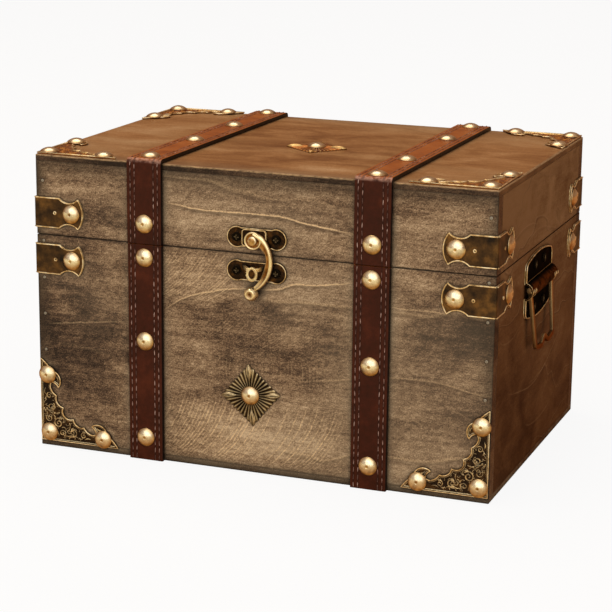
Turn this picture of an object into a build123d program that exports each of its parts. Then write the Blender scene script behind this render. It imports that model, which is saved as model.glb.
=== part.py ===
from build123d import *
import os
from math import asin, cos, pi, radians, sin

# Wooden trunk with leather straps, in millimetres.
# The origin is the middle of the underside, X runs to the right, the front faces -Y, Z is up.

# Case
case_width = 225.0
case_depth = 156.0
case_height = 143.0
board_thickness = 6.5
panel_thickness = 3.0
lid_height = 38.3
seam_gap = 0.4
edge_round = 0.5

# Clearances
hole_clearance = 0.05
blind_hole_gap = 0.2
shank_cover = 0.5
moving_gap = 0.3
cut_overrun = 2.0

# Panel pins that nail the front and back boards to the side boards
pin_radius = 0.65
pin_length = 18.0
base_pin_top_inset = 2.9
base_pin_bottom_inset = 9.6
lid_pin_bottom_inset = 7.8
lid_pin_top_inset = 9.5
base_pin_count = 6
lid_pin_count = 2

# Leather straps
strap_width = 17.2
strap_corner_gap = 7.0
strap_thickness = 2.0
strap_edge_round = 0.5
strap_bend_radius = 2.2
strap_back_gap = 1.6

# Round-headed tacks
tack_head_radius = 4.5
tack_head_height = 2.4
tack_rim = 0.35
tack_shank_radius = 0.65
tack_point = 1.3
base_strap_tack_shares = (0.108, 0.558, 0.942)
lid_strap_tack_share = 0.25
top_tack_left_shares = (-0.925, -0.28, 0.345, 0.925)
top_tack_right_shares = (-0.95, -0.41, 0.405, 0.925)

# Edge plates that wrap the four upright edges
edge_plate_height = 14.0
edge_plate_wing = 24.3
edge_plate_thickness = 0.8
edge_plate_shoulder = 12.1
edge_plate_bow = 2.4
edge_plate_neck_height = 9.9
edge_plate_lid_rise = 10.8
edge_plate_base_drop = 11.6
edge_tack_end_inset = 5.9
edge_hole_inset = 9.9
edge_hole_radius = 0.6

# Corner plates
corner_leg = 40.6
corner_plate_thickness = 0.7
corner_rim_width = 0.7
corner_relief = 0.2
corner_inset = 0.6
corner_tack_inset = 3.6
corner_tack_heart_inset = 4.2
corner_tack_tip_inset = 7.7
spear_shares = ((0, 1), (0.089, 0.925), (0.150, 0.857))
leaf_back_shares = ((0.150, 0.857), (0.252, 0.765), (0.227, 0.662))
leaf_belly_shares = ((0.227, 0.662), (0.190, 0.706), (0.135, 0.722))
tip_scallop_shares = ((0.118, 0.672), (0.146, 0.600), (0.198, 0.558))
side_scallop_shares = ((0.198, 0.558), (0.209, 0.466), (0.287, 0.417))
middle_scallop_shares = ((0.287, 0.417), (0.304, 0.304), (0.417, 0.287))

# Rosettes on the front and on the lid
rosette_reach = 14.8
rosette_thickness = 0.8
rosette_ray_count = 36
rosette_notch = 0.7
front_rosette_x = -2.8
front_rosette_z = 37.6
front_rosette_turn = 5.0
top_rosette_x = 2.5
top_rosette_y = -9.0
top_rosette_turn = 8.0

# Swing latch
latch_plate_width = 28.7
latch_lobe_radius = 4.7
latch_waist_height = 8.4
latch_plate_thickness = 0.9
latch_boss_width = 11.5
latch_boss_height = 7.6
latch_boss_rise = 0.8
latch_boss_corner = 1.4
pivot_plate_rise = 7.6
catch_plate_drop = 8.0
pivot_side_step = 1.0
pivot_drop = 0.9
rivet_radius = 1.3
rivet_head_radius = 2.2
rivet_head_height = 0.9
arm_thickness = 1.5
arm_reach = 24.6
arm_hub_radius = 4.2
arm_ball_radius = 3.2
arm_ball_side_share = -0.012
arm_outer_shares = ((0.19, 0.09), (0.33, -0.11), (0.39, -0.354), (0.362, -0.598), (0.236, -0.81))
arm_inner_shares = ((0.11, -0.795), (0.19, -0.62), (0.245, -0.44), (0.262, -0.33), (0.222, -0.215))
catch_ring_half_width = 2.65
catch_ring_half_height = 3.2
catch_ring_wall = 0.9
catch_ring_depth = 1.2
catch_ring_standoff = 5.4
catch_leg_thickness = 1.1
catch_leg_height = 1.7
catch_leg_rise = 1.9
catch_left_root = 6.6
catch_right_root = 3.6

# Small round-headed screws
screw_head_radius = 2.2
screw_head_height = 0.7
screw_shank_radius = 0.9
screw_slot_width = 0.45
screw_slot_depth = 0.35

# Side handles
handle_y = -5.0
handle_drop = 18.0
handle_plate_width = 46.6
handle_plate_height = 30.8
handle_plate_side_height = 24.6
handle_plate_corner = 3.5
handle_plate_thickness = 0.9
bead_wall = 0.9
bail_bar_radius = 1.4
bail_side_inset = 4.0
bail_taper = 3.3
bail_drop = 28.0
bail_dip = 1.2
bail_dip_half_width = 6.0
bail_cusp_rise = 2.2
bail_corner_radius = 2.2
bail_dip_radius = 1.5
bail_strip_width = 2.2
bail_strip_thickness = 1.6
bail_lean = 5.5
handle_screw_across = 8.2
handle_screw_along = 10.0

# Butt hinges on the back
hinge_width = 25.0
hinge_leaf_height = 12.0
hinge_leaf_thickness = 0.9
hinge_knuckle_radius = 2.3
hinge_pin_radius = 1.0
hinge_knuckle_count = 3
hinge_screw_inset = 5.0
hinge_screw_rise = 7.6

# Sizes that follow from the ones above
half_width = case_width / 2
half_depth = case_depth / 2
seam_height = case_height - lid_height
inner_half_width = half_width - board_thickness
inner_half_depth = half_depth - board_thickness
base_top = seam_height - seam_gap / 2
lid_bottom = seam_height + seam_gap / 2
lid_board_top = case_height - panel_thickness
strap_half_width = strap_width / 2
strap_x = half_width - corner_inset - corner_leg - strap_corner_gap - strap_half_width
strap_centres = (-strap_x, strap_x)
strap_back_base_top = seam_height - strap_back_gap / 2
strap_back_lid_bottom = seam_height + strap_back_gap / 2
top_tack_shares = (top_tack_left_shares, top_tack_right_shares)
hinge_axis_y = half_depth + hinge_knuckle_radius + moving_gap
hinge_x = (strap_x - strap_half_width) / 2
hinge_centres = (-hinge_x, hinge_x)
handle_z = seam_height - handle_drop
bail_axis_standoff = bail_bar_radius + moving_gap
bead_radius = bail_axis_standoff + bail_bar_radius + moving_gap + bead_wall
bail_top_half_width = handle_plate_width / 2 - bail_side_inset
bail_bottom_half_width = bail_top_half_width - bail_taper
edge_plate_horn = edge_plate_wing - edge_plate_bow
edge_tack_inset = edge_plate_wing - edge_tack_end_inset
corner_tack_far = corner_leg - corner_tack_tip_inset
pivot_plate_z = seam_height + pivot_plate_rise
catch_plate_z = seam_height - catch_plate_drop
pivot_x = -pivot_side_step
pivot_z = pivot_plate_z - pivot_drop
arm_standoff = latch_plate_thickness + latch_boss_rise + moving_gap
latch_lobe_offset = latch_plate_width / 2 - latch_lobe_radius
from_top = (Align.CENTER, Align.CENTER, Align.MAX)
from_bottom = (Align.CENTER, Align.CENTER, Align.MIN)


# Planes on the outer faces: Z points out of the face, Y up the wall or back over the top
def face_plane(face, across, along, standoff=0):
    if face == "front":
        return Plane((across, -half_depth - standoff, along), x_dir=(1, 0, 0), z_dir=(0, -1, 0))
    if face == "back":
        return Plane((across, half_depth + standoff, along), x_dir=(-1, 0, 0), z_dir=(0, 1, 0))
    if face == "right":
        return Plane((half_width + standoff, across, along), x_dir=(0, 1, 0), z_dir=(1, 0, 0))
    if face == "left":
        return Plane((-half_width - standoff, across, along), x_dir=(0, -1, 0), z_dir=(-1, 0, 0))
    return Plane((across, along, case_height + standoff), x_dir=(1, 0, 0), z_dir=(0, 0, 1))


# A face plane turned about its own normal
def turned(plane, angle):
    x_dir = plane.x_dir * cos(radians(angle)) + plane.y_dir * sin(radians(angle))
    return Plane(plane.origin, x_dir=x_dir, z_dir=plane.z_dir)


# Finished pieces
def save(piece, name):
    piece.part.label = name
    export_step(piece.part, f"parts/{name}.step")


# A box between two opposite corners
def block(low, high, mode=Mode.ADD):
    middle = tuple((a + b) / 2 for a, b in zip(low, high))
    size = [b - a for a, b in zip(low, high)]
    with Locations(middle):
        Box(*size, mode=mode)


# Fasteners: each set has the planes its heads sit on and the size of its shank
def fastener_set(planes, radius, length):
    return {"planes": planes, "radius": radius, "length": length}


def tack_set(face, places, seat, wood):
    planes = [face_plane(face, across, along, seat) for across, along in places]
    return fastener_set(planes, tack_shank_radius, seat + wood - shank_cover)


def screw_set(face, places, seat):
    planes = [face_plane(face, across, along, seat) for across, along in places]
    return fastener_set(planes, screw_shank_radius, seat + board_thickness - shank_cover)


# Pilot holes, cut from the seat of each head inwards
def drill(*sets):
    for fasteners in sets:
        with Locations(*fasteners["planes"]):
            Cylinder(
                fasteners["radius"] + hole_clearance,
                fasteners["length"] + blind_hole_gap,
                align=from_top,
                mode=Mode.SUBTRACT,
            )


# One tack: a domed head with its flat side at zero, and a pointed shank
def tack_solid(length):
    dome_rise = tack_head_height - tack_rim
    dome_radius = (tack_head_radius**2 + dome_rise**2) / (2 * dome_rise)
    dome_turn = asin(tack_head_radius / dome_radius) / 2
    with BuildPart() as tack:
        with BuildSketch(Plane.XZ):
            with BuildLine():
                Polyline(
                    (0, tack_head_height),
                    (0, -length),
                    (tack_shank_radius, -length + tack_point),
                    (tack_shank_radius, 0),
                    (tack_head_radius, 0),
                    (tack_head_radius, tack_rim),
                )
                ThreePointArc(
                    (tack_head_radius, tack_rim),
                    (dome_radius * sin(dome_turn), tack_head_height - dome_radius * (1 - cos(dome_turn))),
                    (0, tack_head_height),
                )
            make_face()
        revolve(axis=Axis.Z)
    return tack.part


# One screw: a low round head with a cross slot, and a plain shank
def screw_solid(length):
    with BuildPart() as screw:
        Cylinder(screw_head_radius, screw_head_height, align=from_bottom)
        fillet(screw.faces().sort_by(Axis.Z)[-1].edges(), screw_head_height / 2)
        Cylinder(screw_shank_radius, length, align=from_top)
        with Locations((0, 0, screw_head_height)):
            Box(screw_head_radius, screw_slot_width, screw_slot_depth, align=from_top, mode=Mode.SUBTRACT)
            Box(screw_slot_width, screw_head_radius, screw_slot_depth, align=from_top, mode=Mode.SUBTRACT)
    return screw.part


# A group of equal tacks or screws, each at its own place
def make_fasteners(name, one_solid, *sets):
    solids = [one_solid(fasteners["length"]) for fasteners in sets]
    with BuildPart() as group:
        for solid, fasteners in zip(solids, sets):
            with Locations(*fasteners["planes"]):
                add(solid)
    save(group, name)


def make_tacks(name, *sets):
    make_fasteners(name, tack_solid, *sets)


def make_screws(name, *sets):
    make_fasteners(name, screw_solid, *sets)


def make_pins(name, fasteners):
    with BuildPart() as pins:
        with Locations(*fasteners["planes"]):
            Cylinder(fasteners["radius"], fasteners["length"], align=from_top)
    save(pins, name)


# Places of the panel pins, in the middle of the side boards' ends
pin_x = half_width - board_thickness / 2


def spaced(low, high, count):
    return [low + (high - low) * i / (count - 1) for i in range(count)]


base_pin_heights = spaced(
    panel_thickness + base_pin_bottom_inset, base_top - base_pin_top_inset, base_pin_count
)
lid_pin_heights = spaced(
    lid_bottom + lid_pin_bottom_inset, lid_board_top - lid_pin_top_inset, lid_pin_count
)


def pin_set(heights):
    places = [(side * pin_x, height) for side in (-1, 1) for height in heights]
    planes = [face_plane(face, x, z) for face in ("front", "back") for x, z in places]
    return fastener_set(planes, pin_radius, pin_length)


base_pins = pin_set(base_pin_heights)
lid_pins = pin_set(lid_pin_heights)

# Places of the strap tacks
base_tack_heights = [share * base_top for share in base_strap_tack_shares]
lid_tack_height = lid_bottom + lid_strap_tack_share * (case_height - lid_bottom)
base_strap_places = [(x, z) for x in strap_centres for z in base_tack_heights]
lid_strap_places = [(x, lid_tack_height) for x in strap_centres]
top_strap_places = [
    (x, share * half_depth) for x, shares in zip(strap_centres, top_tack_shares) for share in shares
]
base_strap_front_tacks = tack_set("front", base_strap_places, strap_thickness, board_thickness)
base_strap_back_tacks = tack_set("back", base_strap_places, strap_thickness, board_thickness)
lid_strap_front_tacks = tack_set("front", lid_strap_places, strap_thickness, board_thickness)
lid_strap_back_tacks = tack_set("back", lid_strap_places, strap_thickness, board_thickness)
lid_strap_top_tacks = tack_set("top", top_strap_places, strap_thickness, panel_thickness)

# Places of the edge plates and their tacks: one tack in each wing
lid_edge_plate_z = lid_bottom + edge_plate_lid_rise - seam_gap / 2
base_edge_plate_z = base_top - edge_plate_base_drop + seam_gap / 2


def edge_tack_sets(z):
    front_places = [(side * (half_width - edge_tack_inset), z) for side in (-1, 1)]
    side_places = [(side * (half_depth - edge_tack_inset), z) for side in (-1, 1)]
    sets = {}
    for face in ("front", "back"):
        sets[face] = tack_set(face, front_places, edge_plate_thickness, board_thickness)
    for face in ("left", "right"):
        sets[face] = tack_set(face, side_places, edge_plate_thickness, board_thickness)
    return sets


lid_edge_tacks = edge_tack_sets(lid_edge_plate_z)
base_edge_tacks = edge_tack_sets(base_edge_plate_z)

# Planes of the corner plates: X and Y run along the two legs
corner_reach_x = half_width - corner_inset
corner_reach_y = half_depth - corner_inset
front_corner_planes = {
    "left": turned(face_plane("front", -corner_reach_x, panel_thickness), 0),
    "right": turned(face_plane("front", corner_reach_x, panel_thickness), 90),
}
top_corner_planes = {
    "front_left": turned(face_plane("top", -corner_reach_x, -corner_reach_y), 0),
    "front_right": turned(face_plane("top", corner_reach_x, -corner_reach_y), 90),
    "back_right": turned(face_plane("top", corner_reach_x, corner_reach_y), 180),
    "back_left": turned(face_plane("top", -corner_reach_x, corner_reach_y), 270),
}
corner_tack_places = (
    (corner_tack_heart_inset, corner_tack_heart_inset),
    (corner_tack_inset, corner_tack_far),
    (corner_tack_far, corner_tack_inset),
)


def corner_tack_set(corner_planes, wood):
    planes = []
    for corner_plane in corner_planes:
        for u, v in corner_tack_places:
            origin = corner_plane.from_local_coords(Vector(u, v, corner_plate_thickness))
            planes.append(Plane(origin, x_dir=corner_plane.x_dir, z_dir=corner_plane.z_dir))
    return fastener_set(planes, tack_shank_radius, corner_plate_thickness + wood - shank_cover)


front_corner_tacks = corner_tack_set(front_corner_planes.values(), board_thickness)
top_corner_tacks = corner_tack_set(top_corner_planes.values(), panel_thickness)

# Places of the rosettes, each held by one tack
front_rosette_place = (front_rosette_x, front_rosette_z)
front_rosette_plane = turned(face_plane("front", *front_rosette_place), front_rosette_turn)
front_rosette_tack = tack_set("front", [front_rosette_place], rosette_thickness, board_thickness)
top_rosette_place = (top_rosette_x, top_rosette_y)
top_rosette_plane = turned(face_plane("top", *top_rosette_place), top_rosette_turn)
top_rosette_tack = tack_set("top", [top_rosette_place], rosette_thickness, panel_thickness)

# Places of the screws
pivot_screw_places = [(side * latch_lobe_offset, pivot_plate_z) for side in (-1, 1)]
catch_screw_places = [(side * latch_lobe_offset, catch_plate_z) for side in (-1, 1)]
pivot_screws = screw_set("front", pivot_screw_places, latch_plate_thickness)
catch_screws = screw_set("front", catch_screw_places, latch_plate_thickness)
hinge_screw_across = hinge_width / 2 - hinge_screw_inset
hinge_screw_xs = [x + side * hinge_screw_across for x in hinge_centres for side in (-1, 1)]
hinge_lid_places = [(x, seam_height + hinge_screw_rise) for x in hinge_screw_xs]
hinge_base_places = [(x, seam_height - hinge_screw_rise) for x in hinge_screw_xs]
hinge_lid_screws = screw_set("back", hinge_lid_places, hinge_leaf_thickness)
hinge_base_screws = screw_set("back", hinge_base_places, hinge_leaf_thickness)
handle_screw_places = [
    (handle_y + i * handle_screw_across, handle_z + j * handle_screw_along)
    for i in (-1, 1)
    for j in (-1, 1)
]
handle_screws = {
    face: screw_set(face, handle_screw_places, handle_plate_thickness) for face in ("left", "right")
}


# Boards and panels
def make_board(name, low, high, *sets):
    with BuildPart() as board:
        block(low, high)
        drill(*sets)
    save(board, name)


def make_walls(part_name, bottom, top, pins, face_sets):
    make_board(
        f"{part_name}_front_board",
        (-half_width, -half_depth, bottom),
        (half_width, -inner_half_depth, top),
        pins,
        *face_sets["front"],
    )
    make_board(
        f"{part_name}_back_board",
        (-half_width, inner_half_depth, bottom),
        (half_width, half_depth, top),
        pins,
        *face_sets["back"],
    )
    for side, face in ((-1, "left"), (1, "right")):
        inner, outer = sorted((side * inner_half_width, side * half_width))
        make_board(
            f"{part_name}_{face}_board",
            (inner, -inner_half_depth, bottom),
            (outer, inner_half_depth, top),
            pins,
            *face_sets[face],
        )


def make_bottom_panel():
    with BuildPart() as panel:
        block((-half_width, -half_depth, 0), (half_width, half_depth, panel_thickness))
        fillet(panel.edges().group_by(Axis.Z)[0], edge_round)
    save(panel, "base_bottom_panel")


def make_top_panel():
    with BuildPart() as panel:
        block((-half_width, -half_depth, lid_board_top), (half_width, half_depth, case_height))
        fillet(panel.edges().group_by(Axis.Z)[-1], edge_round)
        drill(lid_strap_top_tacks, top_corner_tacks, top_rosette_tack)
    save(panel, "lid_top_panel")


# Straps: flat lengths on the base, one piece over the lid
def make_base_strap(name, face, x, top, tacks):
    seat = face_plane(face, x, top / 2)
    with BuildPart() as strap:
        with BuildSketch(seat):
            Rectangle(strap_width, top)
        extrude(amount=strap_thickness)
        long_edges = strap.edges().filter_by(Axis.Z).sort_by(Axis.Y, reverse=face == "back")[:2]
        fillet(long_edges, strap_edge_round)
        drill(tacks)
    save(strap, name)


def make_lid_strap(name, x):
    outer_y = half_depth + strap_thickness
    with BuildPart() as strap:
        with BuildSketch(Plane.YZ.offset(x - strap_half_width)) as profile:
            with BuildLine():
                Polyline(
                    (-outer_y, lid_bottom),
                    (-outer_y, case_height + strap_thickness),
                    (outer_y, case_height + strap_thickness),
                    (outer_y, strap_back_lid_bottom),
                    (half_depth, strap_back_lid_bottom),
                    (half_depth, case_height),
                    (-half_depth, case_height),
                    (-half_depth, lid_bottom),
                    close=True,
                )
            make_face()
            fillet(profile.vertices().group_by(Axis.Y)[-1], strap_bend_radius)
        extrude(amount=strap_width)
        drill(lid_strap_front_tacks, lid_strap_back_tacks, lid_strap_top_tacks)
    save(strap, name)


# Edge plates: two wings with a waisted end, bent round an upright edge
def wing_outline():
    half_height = edge_plate_height / 2
    half_neck = edge_plate_neck_height / 2
    neck = (edge_plate_shoulder + edge_plate_horn) / 2
    with BuildSketch() as wing:
        with BuildLine():
            for side in (-1, 1):
                Line((-edge_plate_thickness, side * half_height), (edge_plate_shoulder, side * half_height))
                ThreePointArc(
                    (edge_plate_shoulder, side * half_height),
                    (neck, side * half_neck),
                    (edge_plate_horn, side * half_height),
                )
            ThreePointArc(
                (edge_plate_horn, -half_height), (edge_plate_wing, 0), (edge_plate_horn, half_height)
            )
            Line((-edge_plate_thickness, -half_height), (-edge_plate_thickness, half_height))
        make_face()
    return wing.sketch


edge_plate_wing_shape = wing_outline()


def make_edge_plate(name, side_x, side_y, z, tack_sets):
    corner = (side_x * half_width, side_y * half_depth, z)
    wings = (
        Plane(corner, x_dir=(-side_x, 0, 0), z_dir=(0, side_y, 0)),
        Plane(corner, x_dir=(0, -side_y, 0), z_dir=(side_x, 0, 0)),
    )
    with BuildPart() as plate:
        for wing in wings:
            with BuildSketch(wing):
                add(edge_plate_wing_shape)
            extrude(amount=edge_plate_thickness)
        bend = plate.edges().filter_by(Axis.Z).sort_by_distance(
            (side_x * case_width, side_y * (half_depth + half_width), z)
        )[0]
        fillet(bend, edge_plate_thickness)
        with Locations(*[wing.offset(edge_plate_thickness) for wing in wings]):
            with Locations((edge_hole_inset, 0)):
                Cylinder(edge_hole_radius, edge_plate_thickness, align=from_top, mode=Mode.SUBTRACT)
        drill(*tack_sets.values())
    save(plate, name)


# Corner plates: two spear-tipped legs, a curled leaf beside each tip and a scalloped slope between
def corner_arc(shares, swap=False):
    places = [(u * corner_leg, v * corner_leg) for u, v in shares]
    if swap:
        places = [(v, u) for u, v in places]
    ThreePointArc(*places)
    return places


def corner_outline():
    with BuildSketch() as outline:
        with BuildLine():
            Line((0, corner_leg), (0, 0))
            Line((0, 0), (corner_leg, 0))
            for swap in (False, True):
                corner_arc(spear_shares, swap)
                corner_arc(leaf_back_shares, swap)
                leaf_end = corner_arc(leaf_belly_shares, swap)[-1]
                scallop_start = corner_arc(tip_scallop_shares, swap)[0]
                Line(leaf_end, scallop_start)
                corner_arc(side_scallop_shares, swap)
            corner_arc(middle_scallop_shares)
        make_face()
    return outline.sketch


corner_shape = corner_outline()


def make_corner_plate(name, plane, tacks):
    with BuildPart() as plate:
        with BuildSketch(plane):
            add(corner_shape)
        extrude(amount=corner_plate_thickness)
        with BuildSketch(plane.offset(corner_plate_thickness)):
            add(corner_shape)
            offset(amount=-corner_rim_width, mode=Mode.REPLACE)
        extrude(amount=-corner_relief, mode=Mode.SUBTRACT)
        drill(tacks)
    save(plate, name)


# Rosettes: a square of rays, longest towards its four tips
def make_rosette(name, plane, tack):
    points = []
    for i in range(2 * rosette_ray_count):
        angle = pi * i / rosette_ray_count
        reach = rosette_reach / (abs(cos(angle)) + abs(sin(angle)))
        notch = rosette_notch * (i % 2)
        points.append(((reach - notch) * cos(angle), (reach - notch) * sin(angle)))
    with BuildPart() as rosette:
        with BuildSketch(plane):
            with BuildLine():
                Polyline(*points, close=True)
            make_face()
        extrude(amount=rosette_thickness)
        drill(tack)
    save(rosette, name)


# Latch: two lobed plates, a hook that swings on a rivet, and the ring that it holds
def lobed_outline():
    with Locations((-latch_lobe_offset, 0), (latch_lobe_offset, 0)):
        Circle(latch_lobe_radius)
    Rectangle(2 * latch_lobe_offset, latch_waist_height)


def make_pivot_plate():
    plane = face_plane("front", 0, pivot_plate_z)
    with BuildPart() as plate:
        with BuildSketch(plane):
            lobed_outline()
        extrude(amount=latch_plate_thickness)
        with BuildSketch(face_plane("front", pivot_x, pivot_plate_z, latch_plate_thickness)):
            RectangleRounded(latch_boss_width, latch_boss_height, latch_boss_corner)
        extrude(amount=latch_boss_rise)
        with Locations(face_plane("front", pivot_x, pivot_z, arm_standoff)):
            Cylinder(rivet_radius + hole_clearance, arm_standoff, align=from_top, mode=Mode.SUBTRACT)
        drill(pivot_screws)
    save(plate, "latch_pivot_plate")


def make_rivet():
    head_seat = arm_standoff + arm_thickness + moving_gap
    with BuildPart() as rivet:
        with Locations(face_plane("front", pivot_x, pivot_z, head_seat)):
            Cylinder(rivet_radius, head_seat, align=from_top)
            Cylinder(rivet_head_radius, rivet_head_height, align=from_bottom)
        head_edge = rivet.edges().filter_by(GeomType.CIRCLE).sort_by(Axis.Y)[0]
        fillet(head_edge, rivet_head_height / 2)
    save(rivet, "latch_rivet")


def make_latch_arm():
    def arm_points(shares):
        return [(u * arm_reach, v * arm_reach) for u, v in shares]

    ball_place = (arm_ball_side_share * arm_reach, -arm_reach)
    with BuildPart() as arm:
        with BuildSketch(face_plane("front", pivot_x, pivot_z, arm_standoff)):
            with BuildLine():
                outer = Spline(
                    (0, arm_hub_radius),
                    *arm_points(arm_outer_shares),
                    ball_place,
                    tangents=((1, 0), (-1, -1)),
                )
                inner = Spline(ball_place, *arm_points(arm_inner_shares), (0, 0))
                Line(inner @ 1, outer @ 0)
            make_face()
            Circle(arm_hub_radius)
        extrude(amount=arm_thickness)
        ball_x = pivot_x + ball_place[0]
        ball_z = pivot_z + ball_place[1]
        with Locations(face_plane("front", ball_x, ball_z, arm_ball_radius + moving_gap)):
            Sphere(arm_ball_radius)
        with Locations(face_plane("front", pivot_x, pivot_z, arm_standoff + arm_thickness)):
            Cylinder(rivet_radius + hole_clearance, arm_thickness, align=from_top, mode=Mode.SUBTRACT)
    save(arm, "latch_arm")


def make_catch_plate():
    ring_top = catch_plate_z + catch_leg_rise
    with BuildPart() as plate:
        with BuildSketch(face_plane("front", 0, catch_plate_z)):
            lobed_outline()
        extrude(amount=latch_plate_thickness)
        with BuildSketch(face_plane("front", 0, catch_plate_z, catch_ring_standoff)):
            Ellipse(catch_ring_half_width, catch_ring_half_height)
            Ellipse(
                catch_ring_half_width - catch_ring_wall,
                catch_ring_half_height - catch_ring_wall,
                mode=Mode.SUBTRACT,
            )
        extrude(amount=catch_ring_depth)
        ring_side = catch_ring_half_width - catch_ring_wall / 2
        ring_depth = half_depth + catch_ring_standoff + catch_ring_depth / 2
        root_depth = half_depth + latch_plate_thickness / 2
        for side, root in ((-1, catch_left_root), (1, catch_right_root)):
            with BuildSketch(Plane.XY.offset(ring_top - catch_leg_height / 2)):
                with BuildLine():
                    Line((side * root, -root_depth), (side * ring_side, -ring_depth))
                trace(line_width=catch_leg_thickness)
            extrude(amount=catch_leg_height)
        with BuildSketch(Plane.XZ.offset(half_depth)):
            with Locations((0, catch_plate_z)):
                Rectangle(latch_plate_width, latch_plate_width)
        extrude(amount=-cut_overrun, mode=Mode.SUBTRACT)
        drill(catch_screws)
    save(plate, "latch_catch_plate")


# Handles: a plate with a bead pressed in it, and a bail whose bar turns in the bead
def make_handle_plate(name, face):
    wall = face_plane(face, handle_y, handle_z)
    half_plate_width = handle_plate_width / 2
    side_height = handle_plate_side_height / 2
    arch_height = handle_plate_height / 2
    leg_slant = (bail_top_half_width - bail_bottom_half_width) * bead_radius / bail_drop
    slot_width = bail_strip_width + leg_slant + 2 * moving_gap
    slot_top = bail_strip_thickness / 2 + moving_gap
    slot_x = bail_top_half_width - leg_slant / 2
    leg_places = [(side * slot_x, slot_top, handle_plate_thickness) for side in (-1, 1)]
    with BuildPart() as plate:
        with BuildSketch(wall) as outline:
            with BuildLine():
                for side in (-1, 1):
                    Line((side * half_plate_width, -side_height), (side * half_plate_width, side_height))
                    ThreePointArc(
                        (-half_plate_width, side * side_height),
                        (0, side * arch_height),
                        (half_plate_width, side * side_height),
                    )
            make_face()
            fillet(outline.vertices(), handle_plate_corner)
        extrude(amount=handle_plate_thickness)
        with Locations(wall):
            with Locations(Rotation(0, 90, 0)):
                Cylinder(bead_radius, handle_plate_width)
                Cylinder(bead_radius - bead_wall, handle_plate_width, mode=Mode.SUBTRACT)
            Box(
                2 * handle_plate_width,
                2 * handle_plate_height,
                2 * bead_radius,
                align=from_top,
                mode=Mode.SUBTRACT,
            )
            with Locations(*leg_places):
                Box(
                    slot_width,
                    bead_radius + slot_top,
                    bead_radius,
                    align=(Align.CENTER, Align.MAX, Align.MIN),
                    mode=Mode.SUBTRACT,
                )
        drill(handle_screws[face])
    save(plate, name)


def make_bail(name, face):
    wall = face_plane(face, handle_y, handle_z, bail_axis_standoff)
    lean = radians(bail_lean)
    hang = Plane(wall.origin, x_dir=wall.x_dir, z_dir=wall.z_dir * cos(lean) + wall.y_dir * sin(lean))
    bottom = -bail_drop
    right_half = [
        (bail_top_half_width, 0),
        (bail_bottom_half_width, bottom),
        (bail_dip_half_width, bottom - bail_dip),
        (0, bottom + bail_cusp_rise),
    ]
    left_half = [(-x, y) for x, y in reversed(right_half[:-1])]
    dip_radii = (bail_dip_radius, bail_dip_radius, bail_dip_radius)
    radii = (bail_corner_radius, *dip_radii, bail_corner_radius)
    with BuildPart() as bail:
        with BuildSketch(hang.offset(-bail_strip_thickness / 2)):
            with BuildLine():
                FilletPolyline(*right_half, *left_half, radius=radii)
            trace(line_width=bail_strip_width)
        extrude(amount=bail_strip_thickness)
        with Locations(hang):
            with Locations(Rotation(0, 90, 0)):
                Cylinder(bail_bar_radius, 2 * bail_top_half_width + bail_strip_width)
    save(bail, name)


# Hinges: three knuckles on one pin, each leaf cut back round the other's knuckles
def hinge_axis_plane(x):
    return Plane((x, hinge_axis_y, seam_height), x_dir=(0, 1, 0), z_dir=(1, 0, 0))


def make_hinge_leaf(name, x, side, screws):
    knuckle_width = hinge_width / hinge_knuckle_count
    leaf_low, leaf_high = sorted((side * moving_gap, side * hinge_leaf_height))
    with BuildPart() as leaf:
        block(
            (x - hinge_width / 2, half_depth, seam_height + leaf_low),
            (x + hinge_width / 2, half_depth + hinge_leaf_thickness, seam_height + leaf_high),
        )
        for i in range(hinge_knuckle_count):
            knuckle_x = x - hinge_width / 2 + knuckle_width * (i + 1 / 2)
            own = (i % 2 == 1) == (side > 0)
            with Locations(hinge_axis_plane(knuckle_x)):
                if own:
                    Cylinder(hinge_knuckle_radius, knuckle_width - moving_gap)
                else:
                    Cylinder(
                        hinge_knuckle_radius + moving_gap,
                        knuckle_width + moving_gap,
                        mode=Mode.SUBTRACT,
                    )
        with Locations(hinge_axis_plane(x)):
            Cylinder(hinge_pin_radius + hole_clearance, hinge_width, mode=Mode.SUBTRACT)
        drill(screws)
    save(leaf, name)


def make_hinge_pins():
    with BuildPart() as pins:
        for x in hinge_centres:
            with Locations(hinge_axis_plane(x)):
                Cylinder(hinge_pin_radius, hinge_width)
    save(pins, "hinge_pins")


os.makedirs("parts", exist_ok=True)

# Base
make_bottom_panel()
make_walls(
    "base",
    panel_thickness,
    base_top,
    base_pins,
    {
        "front": [
            base_strap_front_tacks,
            base_edge_tacks["front"],
            front_corner_tacks,
            front_rosette_tack,
            catch_screws,
        ],
        "back": [base_strap_back_tacks, base_edge_tacks["back"], hinge_base_screws],
        "left": [base_edge_tacks["left"], handle_screws["left"]],
        "right": [base_edge_tacks["right"], handle_screws["right"]],
    },
)
make_pins("base_panel_pins", base_pins)
for hand, x in zip(("left", "right"), strap_centres):
    make_base_strap(f"base_strap_front_{hand}", "front", x, base_top, base_strap_front_tacks)
    make_base_strap(f"base_strap_back_{hand}", "back", x, strap_back_base_top, base_strap_back_tacks)

# Lid
make_top_panel()
make_walls(
    "lid",
    lid_bottom,
    lid_board_top,
    lid_pins,
    {
        "front": [lid_strap_front_tacks, lid_edge_tacks["front"], pivot_screws],
        "back": [lid_strap_back_tacks, lid_edge_tacks["back"], hinge_lid_screws],
        "left": [lid_edge_tacks["left"]],
        "right": [lid_edge_tacks["right"]],
    },
)
make_pins("lid_panel_pins", lid_pins)
for hand, x in zip(("left", "right"), strap_centres):
    make_lid_strap(f"lid_strap_{hand}", x)

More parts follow.
